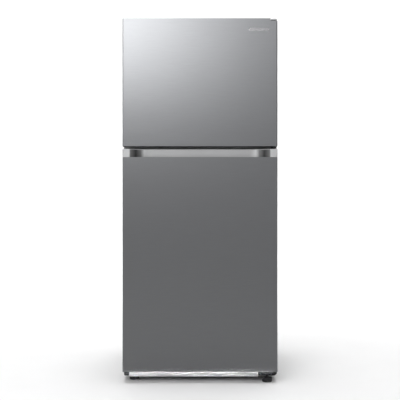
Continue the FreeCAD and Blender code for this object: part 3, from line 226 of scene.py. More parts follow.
def galvanised_material():
    """Zinc spangle: flat crystals that differ a little in tone and gloss."""
    material, tree, shader = new_material("galvanised")
    where = add(tree, "ShaderNodeTexCoord")
    crystals = add(tree, "ShaderNodeTexVoronoi")
    crystals.inputs["Scale"].default_value = 90.0
    tree.links.new(where.outputs["Object"], crystals.inputs["Vector"])
    grey = add(tree, "ShaderNodeRGBToBW")
    tree.links.new(crystals.outputs["Color"], grey.inputs["Color"])
    tone = ramp(tree, grey.outputs["Val"], [(0.2, (0.50, 0.51, 0.52)), (0.8, (0.62, 0.63, 0.64))])
    tree.links.new(tone, shader.inputs["Base Color"])
    tree.links.new(spread(tree, grey.outputs["Val"], 0.38, 0.52), shader.inputs["Roughness"])
    shader.inputs["Metallic"].default_value = 0.85
    return material


def orange_peel(name, colour, rough):
    """Sprayed and baked enamel on sheet steel."""
    material, tree, shader = new_material(name)
    peel = stretched_noise(tree, 420.0, (1, 1, 1), 2.0, 0.5)
    cloud = stretched_noise(tree, 5.0, (1, 1, 1), 3.0, 0.5)
    tone = ramp(tree, cloud, [(0.35, shade(colour, 0.97)), (0.65, shade(colour, 1.03))])
    tree.links.new(tone, shader.inputs["Base Color"])
    tree.links.new(spread(tree, cloud, rough - 0.03, rough + 0.03), shader.inputs["Roughness"])
    shader.inputs["Metallic"].default_value = 0.25
    bump(tree, shader, peel, 0.25, 0.0004)
    return material


def make_materials():
    """One material for each slot of the record, and two more for bands and marks."""
    steel = (0.368, 0.374, 0.386)
    return {
        "door_steel": brushed_steel("door_steel", steel, 0.36),
        "badge_metal": brushed_steel("badge_metal", (0.62, 0.62, 0.63), 0.26, 0.6),
        "silver_plastic": moulded("silver_plastic", (0.50, 0.505, 0.51), 0.34, 0.15, metallic=0.75),
        "case_paint": orange_peel("case_paint", (0.34, 0.345, 0.35), 0.42),
        "galvanised": galvanised_material(),
        "white_liner": moulded("white_liner", (0.82, 0.83, 0.83), 0.38, 0.15, 500.0),
        "foam": foam_material(),
        "grey_trim": moulded("grey_trim", (0.55, 0.56, 0.57), 0.42, 0.2),
        "glass": clear("glass", (0.90, 0.97, 0.95), 0.02, 1.0, 1.5),
        "clear_plastic": clear("clear_plastic", (0.97, 0.985, 0.99), 0.08, 0.9, 1.3),
        "lens": clear("lens", (0.95, 0.95, 0.92), 0.45, 0.6, 1.45),
        "coil_aluminium": brushed_steel("coil_aluminium", (0.75, 0.76, 0.77), 0.35, 0.5),
        "black_plastic": moulded("black_plastic", (0.022, 0.022, 0.024), 0.46, 0.3),
        "black_steel": orange_peel("black_steel", (0.018, 0.018, 0.020), 0.38),
        "rubber": moulded("rubber", (0.03, 0.03, 0.03), 0.75, 0.4),
        "copper": brushed_steel("copper", (0.72, 0.38, 0.22), 0.32, 0.8),
        "dark_cap": moulded("dark_cap", (0.035, 0.035, 0.038), 0.5, 0.3),
        "nylon": moulded("nylon", (0.72, 0.72, 0.69), 0.5, 0.2),
        "gasket": moulded("gasket", (0.30, 0.31, 0.32), 0.62, 0.3),
        "bin_band": moulded("bin_band", (0.62, 0.66, 0.69), 0.3, 0.1, metallic=0.3),
        "dark_mark": moulded("dark_mark", (0.06, 0.06, 0.065), 0.5, 0.2),
    }


materials = make_materials()
for part in frame["record"]["subparts"]:
    target = nodes[part["node"]]
    target.data.materials.clear()
    target.data.materials.append(materials[part["material_slot"]])
GRIP_DEPTH = 0.032
trim_low, trim_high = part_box("grip_trim")
# the grip trim gets silver paint with painted shade in its recess
nodes["grip_trim"].data.materials[0] = grip_silver_painted_shade(trim_low.y, trim_high.z, GRIP_DEPTH)
nodes["toe_strip"].data.materials[0] = moulded("toe_silver", (0.93, 0.935, 0.94), 0.36, 0.12)


# ---------------------------------------------------------------- shape building, in millimetres
def rounded_outline(u, v, radius, steps=4):
    """The corners of a rectangle with rounded corners, anticlockwise."""
    points = []
    corners = ((u[1], v[0], -90), (u[1], v[1], 0), (u[0], v[1], 90), (u[0], v[0], 180))
    for cu, cv, start in corners:
        mu = cu - radius if cu == u[1] else cu + radius
        mv = cv - radius if cv == v[1] else cv + radius
        for step in range(steps + 1):
            angle = math.radians(start + 90 * step / steps)
            points.append((mu + radius * math.cos(angle), mv + radius * math.sin(angle)))
    return points


class Shape:
    """Collects the surfaces of one piece."""

    def __init__(self):
        self.points, self.faces = [], []

    def add(self, points, faces):
        start = len(self.points)
        self.points += points
        self.faces += [tuple(start + i for i in face) for face in faces]

    def rings(self, rings, closed=False, caps=True):
        """Skins equal rings of points one after another."""
        count, total = len(rings[0]), len(rings)
        faces = []
        for r in range(total if closed else total - 1):
            after = (r + 1) % total
            faces += [(r * count + i, r * count + (i + 1) % count, after * count + (i + 1) % count,
                       after * count + i) for i in range(count)]
        if caps and not closed:
            faces += [tuple(reversed(range(count))), tuple((total - 1) * count + i for i in range(count))]
        self.add([point for ring in rings for point in ring], faces)

    def prism(self, axis, outline, low, high, edge=0.0):
        """An outline square to an axis, drawn out from low to high with eased ends."""
        index = "xyz".index(axis)
        middle_u = (min(u for u, _ in outline) + max(u for u, _ in outline)) / 2
        middle_v = (min(v for _, v in outline) + max(v for _, v in outline)) / 2
        half_u = max(max(u for u, _ in outline) - middle_u, 0.001)
        half_v = max(max(v for _, v in outline) - middle_v, 0.001)
        levels = [(low, 0), (high, 0)]
        if edge:
            levels = [(low, edge), (low + edge, 0), (high - edge, 0), (high, edge)]
        rings = []
        for level, inward in levels:
            ring = []
            for u, v in outline:
                ring.append(self.spot(index, middle_u + (u - middle_u) * (1 - inward / half_u),
                                      middle_v + (v - middle_v) * (1 - inward / half_v), level))
            rings.append(ring)
        self.rings(rings)

    @staticmethod
    def spot(index, u, v, level):
        """A point from two coordinates across an axis and one along it."""
        return {0: (level, u, v), 1: (u, level, v), 2: (u, v, level)}[index]

    def block(self, x, y, z, radius=1.0, axis="z", edge=0.4):
        """A block rounded along one axis and eased at its ends."""
        u, v, along = {"x": (y, z, x), "y": (x, z, y), "z": (x, y, z)}[axis]
        radius = min(radius, (u[1] - u[0]) / 2.01, (v[1] - v[0]) / 2.01)
        edge = min(edge, (along[1] - along[0]) / 3)
        self.prism(axis, rounded_outline(u, v, radius), along[0], along[1], edge)

    def turned(self, axis, centre, profile, sides=48, ribs=0, rib=0.0):
        """A profile of (radius, height) pairs turned round an axis; ribs stand out from its widest part."""
        index = "xyz".index(axis)
        rings = []
        for radius, height in profile:
            ring = []
            for i in range(sides):
                angle = 2 * math.pi * i / sides
                reach = radius + (rib * max(0.0, math.cos(ribs * angle)) if ribs and radius > 1 else 0.0)
                place = self.spot(index, reach * math.cos(angle), reach * math.sin(angle), height)
                ring.append(tuple(c + p for c, p in zip(centre, place)))
            rings.append(ring)
        self.rings(rings)

    def tube(self, path, radius, sides=12):
        """A round tube along points."""
        rings = []
        for i, here in enumerate(path):
            before, after = Vector(path[max(i - 1, 0)]), Vector(path[min(i + 1, len(path) - 1)])
            way = (after - before).normalized()
            side = way.cross(Vector((0, 0, 1)) if abs(way.z) < 0.9 else Vector((1, 0, 0))).normalized()
            up = side.cross(way)
            rings.append([tuple(Vector(here) + (side * math.cos(a) + up * math.sin(a)) * radius)
                          for a in (2 * math.pi * k / sides for k in range(sides))])
        self.rings(rings)

    def frame_sweep(self, section, half, low, high, corner, steps=5):
        """A section of (inward, y) pairs carried round a rounded rectangle in the XZ plane."""
        rings = []
        for cx, cz, start in ((half, low, -90), (half, high, 0), (-half, high, 90), (-half, low, 180)):
            mx = cx - corner if cx > 0 else cx + corner
            mz = cz - corner if cz == high else cz + corner
            for step in range(steps + 1):
                angle = math.radians(start + 90 * step / steps)
                rings.append([(mx + (corner - inward) * math.cos(angle), y,
                               mz + (corner - inward) * math.sin(angle)) for inward, y in section])
        self.rings(rings, closed=True)

    def tray_sweep(self, section, x, y, corner, steps=5):
        """A section of (inward, z) pairs carried round a rounded rectangle in the XY plane."""
        rings = []
        for cx, cy, start in ((x[1], y[0], -90), (x[1], y[1], 0), (x[0], y[1], 90), (x[0], y[0], 180)):
            mx = cx - corner if cx == x[1] else cx + corner
            my = cy - corner if cy == y[1] else cy + corner
            for step in range(steps + 1):
                angle = math.radians(start + 90 * step / steps)
                rings.append([(mx + (corner - inward) * math.cos(angle),
                               my + (corner - inward) * math.sin(angle), z) for inward, z in section])
        self.rings(rings, closed=True)

    def made(self, name, slot, body, stands_for=(), smooth_angle=35):
        """Puts the piece in the scene, on a body, in a slot, standing for nodes it replaces."""
        mesh = bpy.data.meshes.new(name)
        mesh.from_pydata([tuple(c * MM for c in point) for point in self.points], [], self.faces)
        tidy = bmesh.new()
        tidy.from_mesh(mesh)
        bmesh.ops.recalc_face_normals(tidy, faces=tidy.faces)
        tidy.to_mesh(mesh)
        tidy.free()
        mesh.materials.append(materials[slot])
        mesh.shade_smooth()
        mesh.set_sharp_from_angle(angle=math.radians(smooth_angle))
        made = bpy.data.objects.new(name, mesh)
        scene.collection.objects.link(made)
        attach(made, body)
        if stands_for:
            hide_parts(*stands_for)


def extent(name):
    """A node's (low, high) pairs in millimetres: x, y, z."""
    low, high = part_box(name)
    return tuple((a / MM, b / MM) for a, b in zip(low, high))


def middle(name):
    """The centre of a node's box in millimetres."""
    return tuple((low + high) / 2 for low, high in extent(name))


# Where parts of the frame stand, in millimetres. Bins and panels are (low, high) pairs.
_, (CABINET_FRONT, CABINET_BACK), _ = extent("outer_case")
PLATE_FACE = CABINET_FRONT - 3
LINER_WALL = extent("shelf_frames")[0][1] + 2
LINER_BACK = extent("fridge_liner")[1][1] - 1.1
FREEZER_BINS = (extent("freezer_bin_lower")[2], extent("freezer_bin_upper")[2])
FRIDGE_BINS = ((138, 260), (430, 522), (650, 742))
DAIRY_BIN = (825, extent("dairy_lid")[2][0] - 1.5)
FREEZER_PANEL, FRIDGE_PANEL = (1190, 1612), (150, 1020)
DUCT_SLOT_SHARES = (0.085, 0.427, 0.797)
# each shelf's low face and back edge
SHELF_BACK = extent("shelf_frames")[1][1]
SHELVES = ((605, SHELF_BACK), (830, SHELF_BACK), (1385, SHELF_BACK - 39), (336, SHELF_BACK))


# ---------------------------------------------------------------- doors
def gasket(prefix, body):
    """A magnetic door seal: base, bellows and the flat strip that meets the cabinet."""
    (_, half), (back, face), (low, high) = extent(f"{prefix}_gasket")
    deep = face - back
    section = [(1, back), (19, back), (19, back + 0.10 * deep), (13, back + 0.18 * deep),
               (13.5, back + 0.30 * deep), (18.5, back + 0.38 * deep), (18.5, back + 0.46 * deep),
               (14, back + 0.54 * deep), (18, back + 0.66 * deep), (19.5, back + 0.74 * deep),
               (19.5, face - 0.8), (18.7, face), (1.3, face), (0.5, face - 0.8), (0.5, back + 0.74 * deep),
               (2, back + 0.66 * deep), (6, back + 0.54 * deep), (1.5, back + 0.46 * deep),
               (1.5, back + 0.38 * deep), (6.5, back + 0.30 * deep), (7, back + 0.18 * deep),
               (1, back + 0.10 * deep)]
    seal = Shape()
    seal.frame_sweep(section, half, low, high, 22)
    seal.made(f"{prefix}_seal", "gasket", body, stands_for=[f"{prefix}_gasket"], smooth_angle=25)


def bin_trim(name, body, x, low, high, y):
    """What a door bin has besides its walls: a rim, a band and lines on its front, and floor ribs."""
    trim, ribs = Shape(), Shape()
    back, front = y
    rim = [(0, high - 3), (2.2, high - 3), (2.6, high - 0.6), (2.0, high), (0.2, high), (0, high - 0.6)]
    ribs.tray_sweep(rim, x, y, 12)
    band = rounded_outline((x[0] + 13, x[1] - 13), (high - 24, high - 4), 3)
    trim.prism("y", band, front - 0.3, front + 1.6, 0.5)
    for row in range(3):
        level = low + 14 + row * 9
        ribs.block((x[0] + 16, x[1] - 16), (front - 0.2, front + 0.9), (level, level + 2.2), 0.8, "x")
    centre, pitch, clear_of_wall = (x[0] + x[1]) / 2, 24, 12
    reach = int((x[1] - x[0]) // 26) // 2
    for i in range(-reach, reach + 1):
        spot = centre + i * pitch
        if x[0] + clear_of_wall < spot < x[1] - clear_of_wall:
            ribs.block((spot - 0.8, spot + 0.8), (back + 12, front - 12), (low + 1.8, low + 3.0),
                       0.5, "y", 0.3)
    trim.made(f"{name}_band", "bin_band", body)
    ribs.made(f"{name}_ribs", "clear_plastic", body)


def door_details():
    """Seals, what the bins carry, the lid's pull and the relief of the door panels."""
    for door, bin_node, bins, panel in (
            ("freezer_door", "freezer_bin_lower", FREEZER_BINS, FREEZER_PANEL),
            ("fridge_door", "fridge_door_bins", FRIDGE_BINS, FRIDGE_PANEL)):
        gasket(door, door)
        (_, half), (back, front), _ = extent(bin_node)
        for i, (low, high) in enumerate(bins, start=1):
            bin_trim(f"{door}_bin_{i}", door, (-half, half), low, high, (back, front))
            lugs = Shape()
            for side in (-1, 1):
                wall = side * (half + 1.6)
                pair = sorted((wall, wall - side * 9))
                for start in (back + 8, back + 20):
                    lugs.block(pair, (start, start + 6), (low - 14, low - 0.4), 2.0, "x")
            lugs.made(f"{door}_bin_lugs_{i}", "white_liner", door)
        _, (_, ridge), _ = extent(f"{door}_liner")
        face = ridge - 30
        relief = Shape()
        for i in range(-4, 5):
            relief.block((i * 56 - 3, i * 56 + 3), (face - 0.5, face + 0.7), panel, 2.5, "y", 0.4)
        relief.made(f"{door}_relief", "white_liner", door)
    (x0, x1), (back, front), (low, high) = extent("dairy_lid")
    lid = Shape()
    lid.block((x0 + 14, x1 - 14), (front - 7, front - 1), (high - 0.2, high + 2.2), 1.5, "x")
    centre = (x0 + x1) / 2
    lid.block((centre - 30, centre + 30), (front - 1.2, front + 4.5), (low + 6.5, low + 9.4), 1.2, "x")
    lid.made("dairy_lid_pull", "bin_band", "dairy_lid")
    bin_trim("dairy_bin", "fridge_door", (x0 - 2.6, x1 + 2.6), *DAIRY_BIN, (back - 2, front))


# ---------------------------------------------------------------- inside the cabinet
def shelf_details():
    """A profiled trim on each shelf's front and a stop along its back."""
    trims = Shape()
    lips = Shape()
    (_, half), (front, _), _ = extent("shelf_frames")
    for low, end in SHELVES:
        profile = [(front - 2.6, low + 2), (front - 1.4, low - 1), (front + 0.4, low - 1.6),
                   (front + 0.4, low + 13.6), (front - 1.6, low + 13.2), (front - 2.8, low + 10)]
        trims.prism("x", profile, -half + 1, half - 1, 0.4)
        lips.block((-half + 14, half - 14), (end - 8, end - 3), (low + 11.8, low + 20), 2.0, "x")
    trims.made("shelf_front_trims", "silver_plastic", "cabinet")
    lips.made("shelf_back_stops", "grey_trim", "cabinet")


def liner_details():
    """Shelf rests on the side walls and shallow relief on the back wall."""
    start = -168
    ribs = Shape()
    for side in (-1, 1):
        wall = sorted((side * LINER_WALL, side * (LINER_WALL - 4)))
        for level, end in ((470, 220), (715, 220), (942, 220), (1262, 190), (1510, 190)):
            ribs.block(wall, (start, end), (level, level + 5), 2.0, "y")
            ribs.block(wall, (start - 6, start + 2), (level, level + 11), 2.0, "x")
    ribs.made("liner_ribs", "white_liner", "cabinet")
    swages = Shape()
    for side in (-1, 1):
        for i in range(4):
            x = side * (96 + i * 50)
            swages.block((x - 2.5, x + 2.5), (LINER_BACK - 1.8, LINER_BACK), (372, 1000), 2.0, "y", 0.6)
    swages.made("liner_back_relief", "white_liner", "cabinet")


def duct_details():
    """Louvres of the air duct, hoods and relief of the evaporator cover."""
    (x0, x1), (face, _), (low, high) = extent("air_duct")
    panel = Shape()
    panel.prism("y", rounded_outline((x0 + 7, x1 - 7), (low + 10, low + 48), 6), face - 1.2, face + 0.2, 0.4)
    for share in DUCT_SLOT_SHARES:
        start = low + share * (high - low)
        for k in range(3):
            z = start + k * 12
            blade = [(face - 1.4, z + 5.4), (face - 2.2, z + 4.6),
                     (face + 1.0, z + 0.6), (face + 1.8, z + 1.2)]
            panel.prism("x", blade, -38, 38)
        panel.frame_sweep([(0, face - 1.5), (2.4, face - 1.5), (3.0, face + 0.2), (-0.6, face + 0.2)],
                          44, start - 8, start + 37, 7)
    panel.made("air_duct_louvres", "white_liner", "cabinet")
    cover = Shape()
    _, (face, _), (low, high) = extent("evaporator_cover")
    grille_middle = high - 94
    for row in range(-2, 3):
        for i in range(-2, 3):
            z, x = grille_middle + row * 14, i * 60
            hood = [(face + 1.5, z + 3.2), (face - 1.6, z + 3.0), (face - 3.4, z - 0.6),
                    (face - 2.6, z - 1.0), (face - 0.6, z + 1.6), (face + 1.5, z + 1.8)]
            cover.prism("x", hood, x - 21.5, x + 21.5)
    for side in (-1, 1):
        for i in range(3):
            cover.block((side * 235 - 50, side * 235 + 50), (face - 1.1, face + 0.3),
                        (low + 60 + i * 120, low + 66 + i * 120), 2.5, "y")
    surround = [(0, face - 1.2), (3, face - 1.2), (4, face + 0.2), (-1, face + 0.2)]
    cover.frame_sweep(surround, 176, high - 148, high - 40, 12)
    cover.made("evaporator_cover_relief", "white_liner", "cabinet")


def control_details():
    """Marks round the dials, their knurls and pointers, the housing's line and the prisms of the lenses."""
    (_, half), _, (low, high) = extent("control_housing")
    _, (_, dial_back), _ = extent("fridge_dial")
    front = dial_back + 0.4
    marks = Shape()
    for dial in ("fridge_dial", "freezer_dial"):
        (x0, x1), (d0, d1), (z0, z1) = extent(dial)
        cx, cz, radius = (x0 + x1) / 2, (z0 + z1) / 2, (x1 - x0) / 2
        for k in range(-4, 5):
            angle = math.radians(90 + k * 30)
            near = radius + 2.2
            far = near + (3.2 if k % 2 else 4.6)
            points = [(cx + reach * math.cos(angle) - wide * math.sin(angle),
                       cz + reach * math.sin(angle) + wide * math.cos(angle))
                      for reach, wide in ((near, -0.5), (far, -0.9), (far, 0.9), (near, 0.5))]
            if all(low + 0.5 < z < high - 0.5 for _, z in points):
                marks.prism("y", points, front - 0.35, front + 0.1)
        grip = Shape()
        knurl = [(radius - 0.2, d0 + 5.0), (radius + 0.1, d0 + 5.6), (radius + 0.1, d1 - 1.4),
                 (radius - 0.2, d1 - 0.8)]
        grip.turned("y", (cx, 0, cz), knurl, sides=144, ribs=36, rib=0.55)
        grip.made(f"{dial}_knurl", "grey_trim", dial)
        pointer = Shape()
        pointer.block((cx - 0.8, cx + 0.8), (d0 - 0.35, d0 + 0.2), (cz + 6, cz + radius - 2.5), 0.5, "y", 0.1)
        pointer.made(f"{dial}_pointer", "dark_mark", dial)
    marks.made("dial_marks", "dark_mark", "cabinet")
    line = Shape()
    line.block((-half + 12, half - 12), (front - 1.0, front + 0.2), (low + 1.5, low + 3.2), 0.7, "x")
    line.made("control_housing_line", "silver_plastic", "cabinet")
    _, _, (_, lens_top) = extent("lamp_lenses")
    freezer_lens_face = lens_top - 9
    lens = Shape()
    for i in range(19):
        x = -57 + i * 6.2
        lens.block((x, x + 2.4), (front + 42, front + 98), (low - 2.7, low - 1.8), 0.4, "y", 0.2)
    for i in range(20):
        x = -66 + i * 6.6
        lens.block((x, x + 3.4), (CABINET_FRONT + 43, CABINET_FRONT + 73),
                   (freezer_lens_face - 0.8, freezer_lens_face + 0.2), 0.4, "y", 0.2)
    lens.made("lamp_lens_prisms", "lens", "cabinet")


def crisper_details():
    """A handle bar, ribs and a rim on each crisper."""
    for body in ("crisper_left", "crisper_right"):
        (x0, x1), (front, back), (low, high) = extent(body)
        top = high - 16
        bar = Shape()
        bar.block((x0 + 61, x1 - 61), (front - 2.4, front + 3.6), (top + 0.5, high - 5), 2.5, "x")
        bar.block((x0 + 4, x1 - 4), (front - 0.9, front + 0.2), (high - 4.2, high - 1.6), 1.0, "x")
        bar.made(f"{body}_handle", "silver_plastic", body)
        ribs = Shape()
        for i in range(9):
            z = low + 22 + i * 15
            ribs.block((x0 + 12, x1 - 12), (front - 0.8, front + 0.2), (z, z + 1.6), 0.7, "x")
        for i in range(10):
            x = x0 + 22 + i * 28
            if x < x1 - 16:
                ribs.block((x, x + 2), (front + 22, back - 16), (low + 2.4, low + 3.6), 0.6, "y", 0.3)
        rim = [(0, top - 4), (2.6, top - 4), (2.6, top - 0.6), (2.2, top + 0.4), (0.2, top + 0.4),
               (0, top - 0.6)]
        ribs.tray_sweep(rim, (x0, x1), (front + 6, back), 14)
        ribs.made(f"{body}_ribs", "clear_plastic", body)


# ---------------------------------------------------------------- outside: back, underside, feet
def screw_head(shape, axis, sign, centre, radius=5, height=2.2):
    """A pan head with a cross recess, as rings from its rim in to the bottom of the recess."""
    index = "xyz".index(axis)
    sides = 48
    angles = [2 * math.pi * k / sides for k in range(sides)]

    def cross(angle, wide, long):
        """How far out the edge of a cross lies at an angle."""
        turn = (angle + math.pi / 4) % (math.pi / 2) - math.pi / 4
        if abs(math.tan(turn)) * long < wide:
            return long
        return min(wide / abs(math.sin(turn)), long)

    head = ((1.0, 0.0), (1.0, 0.35), (0.93, 0.68), (0.80, 0.90), (0.66, 1.0))
    recess = ((0.16, 0.55, 1.0), (0.10, 0.42, 0.35))
    levels = [([reach * radius] * sides, rise) for reach, rise in head]
    levels += [([cross(angle, wide * radius, long * radius) for angle in angles], rise)
               for wide, long, rise in recess]
    rings = []
    for reaches, rise in levels:
        ring = []
        for angle, reach in zip(angles, reaches):
            place = shape.spot(index, reach * math.cos(angle), reach * math.sin(angle), sign * rise * height)
            ring.append(tuple(c + p for c, p in zip(centre, place)))
        rings.append(ring)
    shape.rings(rings)


def screw_details():
    """Every screw of the cabinet, standing for the plain ones."""
    heads = Shape()
    _, _, hinge_middle = middle("middle_hinge")
    _, _, (hinge_foot, _) = extent("bottom_hinge")
    _, _, (_, hinge_top) = extent("top_hinge")
    for rise in (-18, 18):
        screw_head(heads, "y", -1, (353, PLATE_FACE, hinge_middle + rise))
    for x in (291, 341):
        screw_head(heads, "y", -1, (x, PLATE_FACE, hinge_foot + 10))
    for x, deep in ((316, 20), (316, 56), (346, 56)):
        screw_head(heads, "z", 1, (x, CABINET_FRONT + deep, hinge_top))
    for side in (-1, 1):
        for z in (50, 276):
            screw_head(heads, "y", 1, (side * 335, CABINET_BACK, z))
    heads.made("cabinet_screws", "galvanised", "cabinet", stands_for=["screws"])


def back_details():
    """Relief, a blank plate and foam port plugs on the back panel, and the rear cover's louvres."""
    face = CABINET_BACK
    relief = Shape()
    for side in (-1, 1):
        for x in (70, 160, 250):
            outline = rounded_outline((side * x - 9, side * x + 9), (360, 1620), 8.9, 6)
            relief.prism("y", outline, face - 0.4, face + 1.3, 1.0)
    border = [(0, face - 0.2), (2, face + 0.9), (12, face + 0.9), (14, face - 0.2)]
    relief.frame_sweep(border, 345, 312, 1676, 24)
    relief.made("back_panel_relief", "case_paint", "cabinet")
    plate = Shape()
    plate.prism("y", rounded_outline((190, 232), (1560, 1620), 3), face, face + 1.7, 0.2)
    plate.made("rating_plate_blank", "silver_plastic", "cabinet")
    plugs = Shape()
    for x, z in ((-300, 420), (300, 420), (-300, 1560), (300, 1560)):
        plugs.turned("y", (x, 0, z), [(0.5, face), (13, face), (13, face + 0.9), (11.5, face + 1.8),
                                     (8, face + 1.9), (7, face + 1.2), (0.5, face + 1.2)], 40)
    plugs.made("foam_port_plugs", "white_liner", "cabinet")
    _, _, (cover_low, _) = extent("rear_cover")
    hoods = Shape()
    for row in range(9):
        for column in range(-2, 3):
            z, x = cover_low + 70 + row * 15, column * 105
            hood = [(face - 0.2, z + 7.2), (face + 0.9, z + 6.6), (face + 1.9, z + 4.6),
                    (face + 2.0, z + 2.6), (face + 1.3, z + 2.6), (face + 0.6, z + 5.4),
                    (face - 0.2, z + 5.6)]
            hoods.prism("x", hood, x - 38, x + 38, 0.8)
    hoods.made("rear_cover_louvres", "galvanised", "cabinet")


def underside_details():
    """Ribbed pads of the feet, tyres of the rollers, and the compressor's seam and stubs."""
    foot = [(19.5, 0.0), (21.6, 1.2), (22.7, 4.0), (22.7, 16.0), (21.4, 19.0), (19.5, 20.4),
            (9.2, 21.2), (9.0, 24.0), (5.0, 24.3)]
    for label in ("front_foot_left", "front_foot_right"):
        x, y, _ = middle(label)
        pad = Shape()
        pad.turned("z", (x, y, 0), foot, sides=120, ribs=20, rib=0.9)
        pad.made(f"{label}_grip", "black_plastic", label)
    for label in ("rear_roller_left", "rear_roller_right"):
        roller_x, roller_y, roller_z = middle(label)
        tyre = Shape()
        section = [(19.4, -6.6), (20.0, -5.2), (20.0, 5.2), (19.4, 6.6), (17.0, 6.9), (17.0, -6.9)]
        rings = []
        for i in range(48):
            angle = 2 * math.pi * i / 48
            rings.append([(roller_x + along, roller_y + reach * math.cos(angle),
                           roller_z + reach * math.sin(angle)) for reach, along in section])
        tyre.rings(rings, closed=True)
        tyre.made(f"{label}_tyre", "rubber", label)
    compressor_x, compressor_y, _ = middle("compressor_mounts")
    _, _, (compressor_low, _) = extent("compressor")
    seam = compressor_low + 87
    half_wide, half_deep = 84.4, 73.4
    pot = Shape()
    rings = []
    for i in range(64):
        angle = 2 * math.pi * i / 64
        rings.append([(compressor_x + (half_wide + u) * math.cos(angle),
                       compressor_y + (half_deep + u) * math.sin(angle), seam + v)
                      for u, v in ((-1.0, -3.0), (1.6, -2.0), (2.0, 0.0), (1.6, 2.0), (-1.0, 3.0))])
    pot.rings(rings, closed=True)
    for angle in (20, 75):
        east, north = math.cos(math.radians(angle)), math.sin(math.radians(angle))
        x, y, z = compressor_x + 60 * east, compressor_y + 50 * north, seam + 40
        pot.tube([(x, y, z), (x + 14 * east, y + 12 * north, z + 10),
                  (x + 16 * east, y + 14 * north, z + 40)], 3.6)
    pot.made("compressor_seam", "black_steel", "cabinet")


door_details()
shelf_details()
liner_details()
duct_details()
control_details()
crisper_details()
screw_details()
back_details()
underside_details()


# ---------------------------------------------------------------- eased edges on the frame's own parts
# widths in millimetres
EASED = {"outer_case": 0.5, "mullion_cover": 0.3, "shelf_frames": 0.8, "crisper_cover_frame": 0.6,
         "toe_strip": 0.3, "middle_hinge": 0.6, "bottom_hinge": 0.7, "top_hinge": 0.5, "top_hinge_cover": 1.2,
         "foot_bracket_left": 1.2, "control_housing": 1.6, "fridge_dial": 0.8, "freezer_dial": 0.8,
         "crisper_left": 0.7, "crisper_right": 0.7, "freezer_bin_lower": 0.6, "freezer_bin_upper": 0.6,
         "fridge_door_bins": 0.6, "grip_trim": 1.0, "badge": 0.5,
         "freezer_door_liner": 2.2, "fridge_door_liner": 2.2,
         "rear_cover": 0.3, "base_frame": 0.4, "shelf_glass": 0.6, "evaporator_cover": 0.4, "air_duct": 1.0,
         "dairy_lid": 0.5, "freezer_door_caps": 0.8, "fridge_door_bottom_cap": 0.8, "cord_gland": 0.8}
for name, width in EASED.items():
    target = nodes[name]
    ease = target.modifiers.new("eased", "BEVEL")
    ease.width = width * MM
    ease.segments = 2
    ease.limit_method = "ANGLE"
    ease.angle_limit = math.radians(50)
    ease.use_clamp_overlap = True
    ease.harden_normals = True


# ---------------------------------------------------------------- floor, light, camera
def stage():
    """A pale floor that curves up behind the object into a pale wall. Glossy surfaces see it dimmer."""
    width, front, back, rise, height = 28.0, -14.0, 3.0, 1.6, 7.0
    outline = [(front, 0.0), (back, 0.0)]
    steps = 12
    for step in range(1, steps + 1):
        angle = step / steps * math.pi / 2
        outline.append((back + rise * math.sin(angle), rise - rise * math.cos(angle)))
    outline.append((back + rise, height))
    mesh = bpy.data.meshes.new("studio_floor")
    points = [(side * width / 2, y, z) for y, z in outline for side in (-1, 1)]
    faces = [(2 * i, 2 * i + 1, 2 * i + 3, 2 * i + 2) for i in range(len(outline) - 1)]
    mesh.from_pydata(points, [], faces)
    mesh.shade_smooth()
    floor = bpy.data.objects.new("studio_floor", mesh)
    scene.collection.objects.link(floor)
    material, tree, shader = new_material("studio_paper")
    fibre = stretched_noise(tree, 3.0, (1, 1, 1), 3.0, 0.5)
    tone = ramp(tree, fibre, [(0.3, (0.93, 0.93, 0.93)), (0.7, (0.95, 0.95, 0.95))])
    dim = ramp(tree, fibre, [(0.3, (0.30, 0.30, 0.30)), (0.7, (0.32, 0.32, 0.32))])
    rays = add(tree, "ShaderNodeLightPath")
    tree.links.new(blend(tree, rays.outputs["Is Glossy Ray"], tone, dim), shader.inputs["Base Color"])
    shader.inputs["Roughness"].default_value = 0.9
    mesh.materials.append(material)


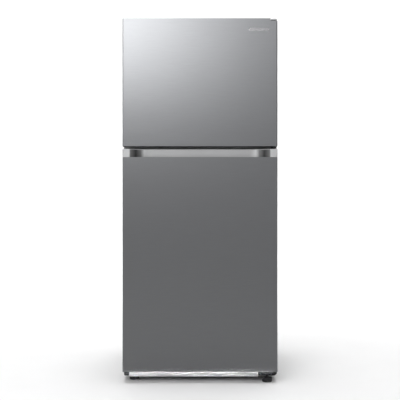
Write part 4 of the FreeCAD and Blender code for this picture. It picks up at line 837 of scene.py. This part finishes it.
def area_light(name, place, target, size, power, spread_angle=math.pi):
    """A soft light at a place, turned to a target; it isn't seen itself."""
    light = bpy.data.lights.new(name, "AREA")
    light.shape = "RECTANGLE"
    light.size, light.size_y = size
    light.energy = power
    light.spread = spread_angle
    lamp = bpy.data.objects.new(name, light)
    lamp.location = place
    lamp.rotation_euler = (Vector(target) - Vector(place)).to_track_quat("-Z", "Y").to_euler()
    lamp.visible_camera = False
    scene.collection.objects.link(lamp)


def world_light():
    """Soft light from all round, dimmer in front of the doors; seen directly, it looks white."""
    world = bpy.data.worlds.new("studio")
    scene.world = world
    world.use_nodes = True
    tree = world.node_tree
    where = add(tree, "ShaderNodeTexCoord")
    parts = add(tree, "ShaderNodeSeparateXYZ")
    tree.links.new(where.outputs["Generated"], parts.inputs["Vector"])
    fade = add(tree, "ShaderNodeMapRange")
    fade.interpolation_type = "SMOOTHSTEP"
    fade.inputs["From Min"].default_value = -0.75
    fade.inputs["From Max"].default_value = 0.1
    tree.links.new(parts.outputs["Y"], fade.inputs["Value"])
    tone = ramp(tree, fade.outputs["Result"], [(0.0, (0.27, 0.27, 0.275)), (1.0, (0.50, 0.50, 0.50))])
    white = (1.0, 1.0, 1.0, 1.0)
    rays = add(tree, "ShaderNodeLightPath")
    background = tree.nodes["Background"]
    tree.links.new(blend(tree, rays.outputs["Is Camera Ray"], tone, white), background.inputs["Color"])
    background.inputs["Strength"].default_value = 1.0


def camera():
    """Square on to the doors, a little above half their height."""
    low, high = cad_bounds
    door_plane = low[1]
    eye_height = (high[2] - low[2]) * 0.502
    distance, frame_width = 3.5, 1.88
    data = bpy.data.cameras.new("camera")
    data.angle = 2 * math.atan(frame_width / 2 / distance)
    eye = bpy.data.objects.new("camera", data)
    eye.location = (0.0, door_plane - distance, eye_height)
    eye.rotation_euler = (math.pi / 2, 0, 0)
    scene.collection.objects.link(eye)
    scene.camera = eye


stage()
world_light()
camera()
scene.view_settings.view_transform = "Standard"
area_light("softbox", (-1.5, -3.9, 3.05), (-1.1, -0.37, 2.3), (2.7, 2.0), 74)
area_light("floor_wash", (0.0, -5.0, 3.3), (0.0, -5.0, 0.0), (30.0, 19.8), 800, math.radians(34))
area_light("toe_light", (0.0, -1.35, 0.03), (0.0, -0.33, 0.03), (1.3, 0.02), 0.07, math.radians(4))
area_light("backdrop", (0.0, 0.6, 4.9), (0.0, 4.6, 2.2), (9.0, 1.4), 130, math.radians(120))
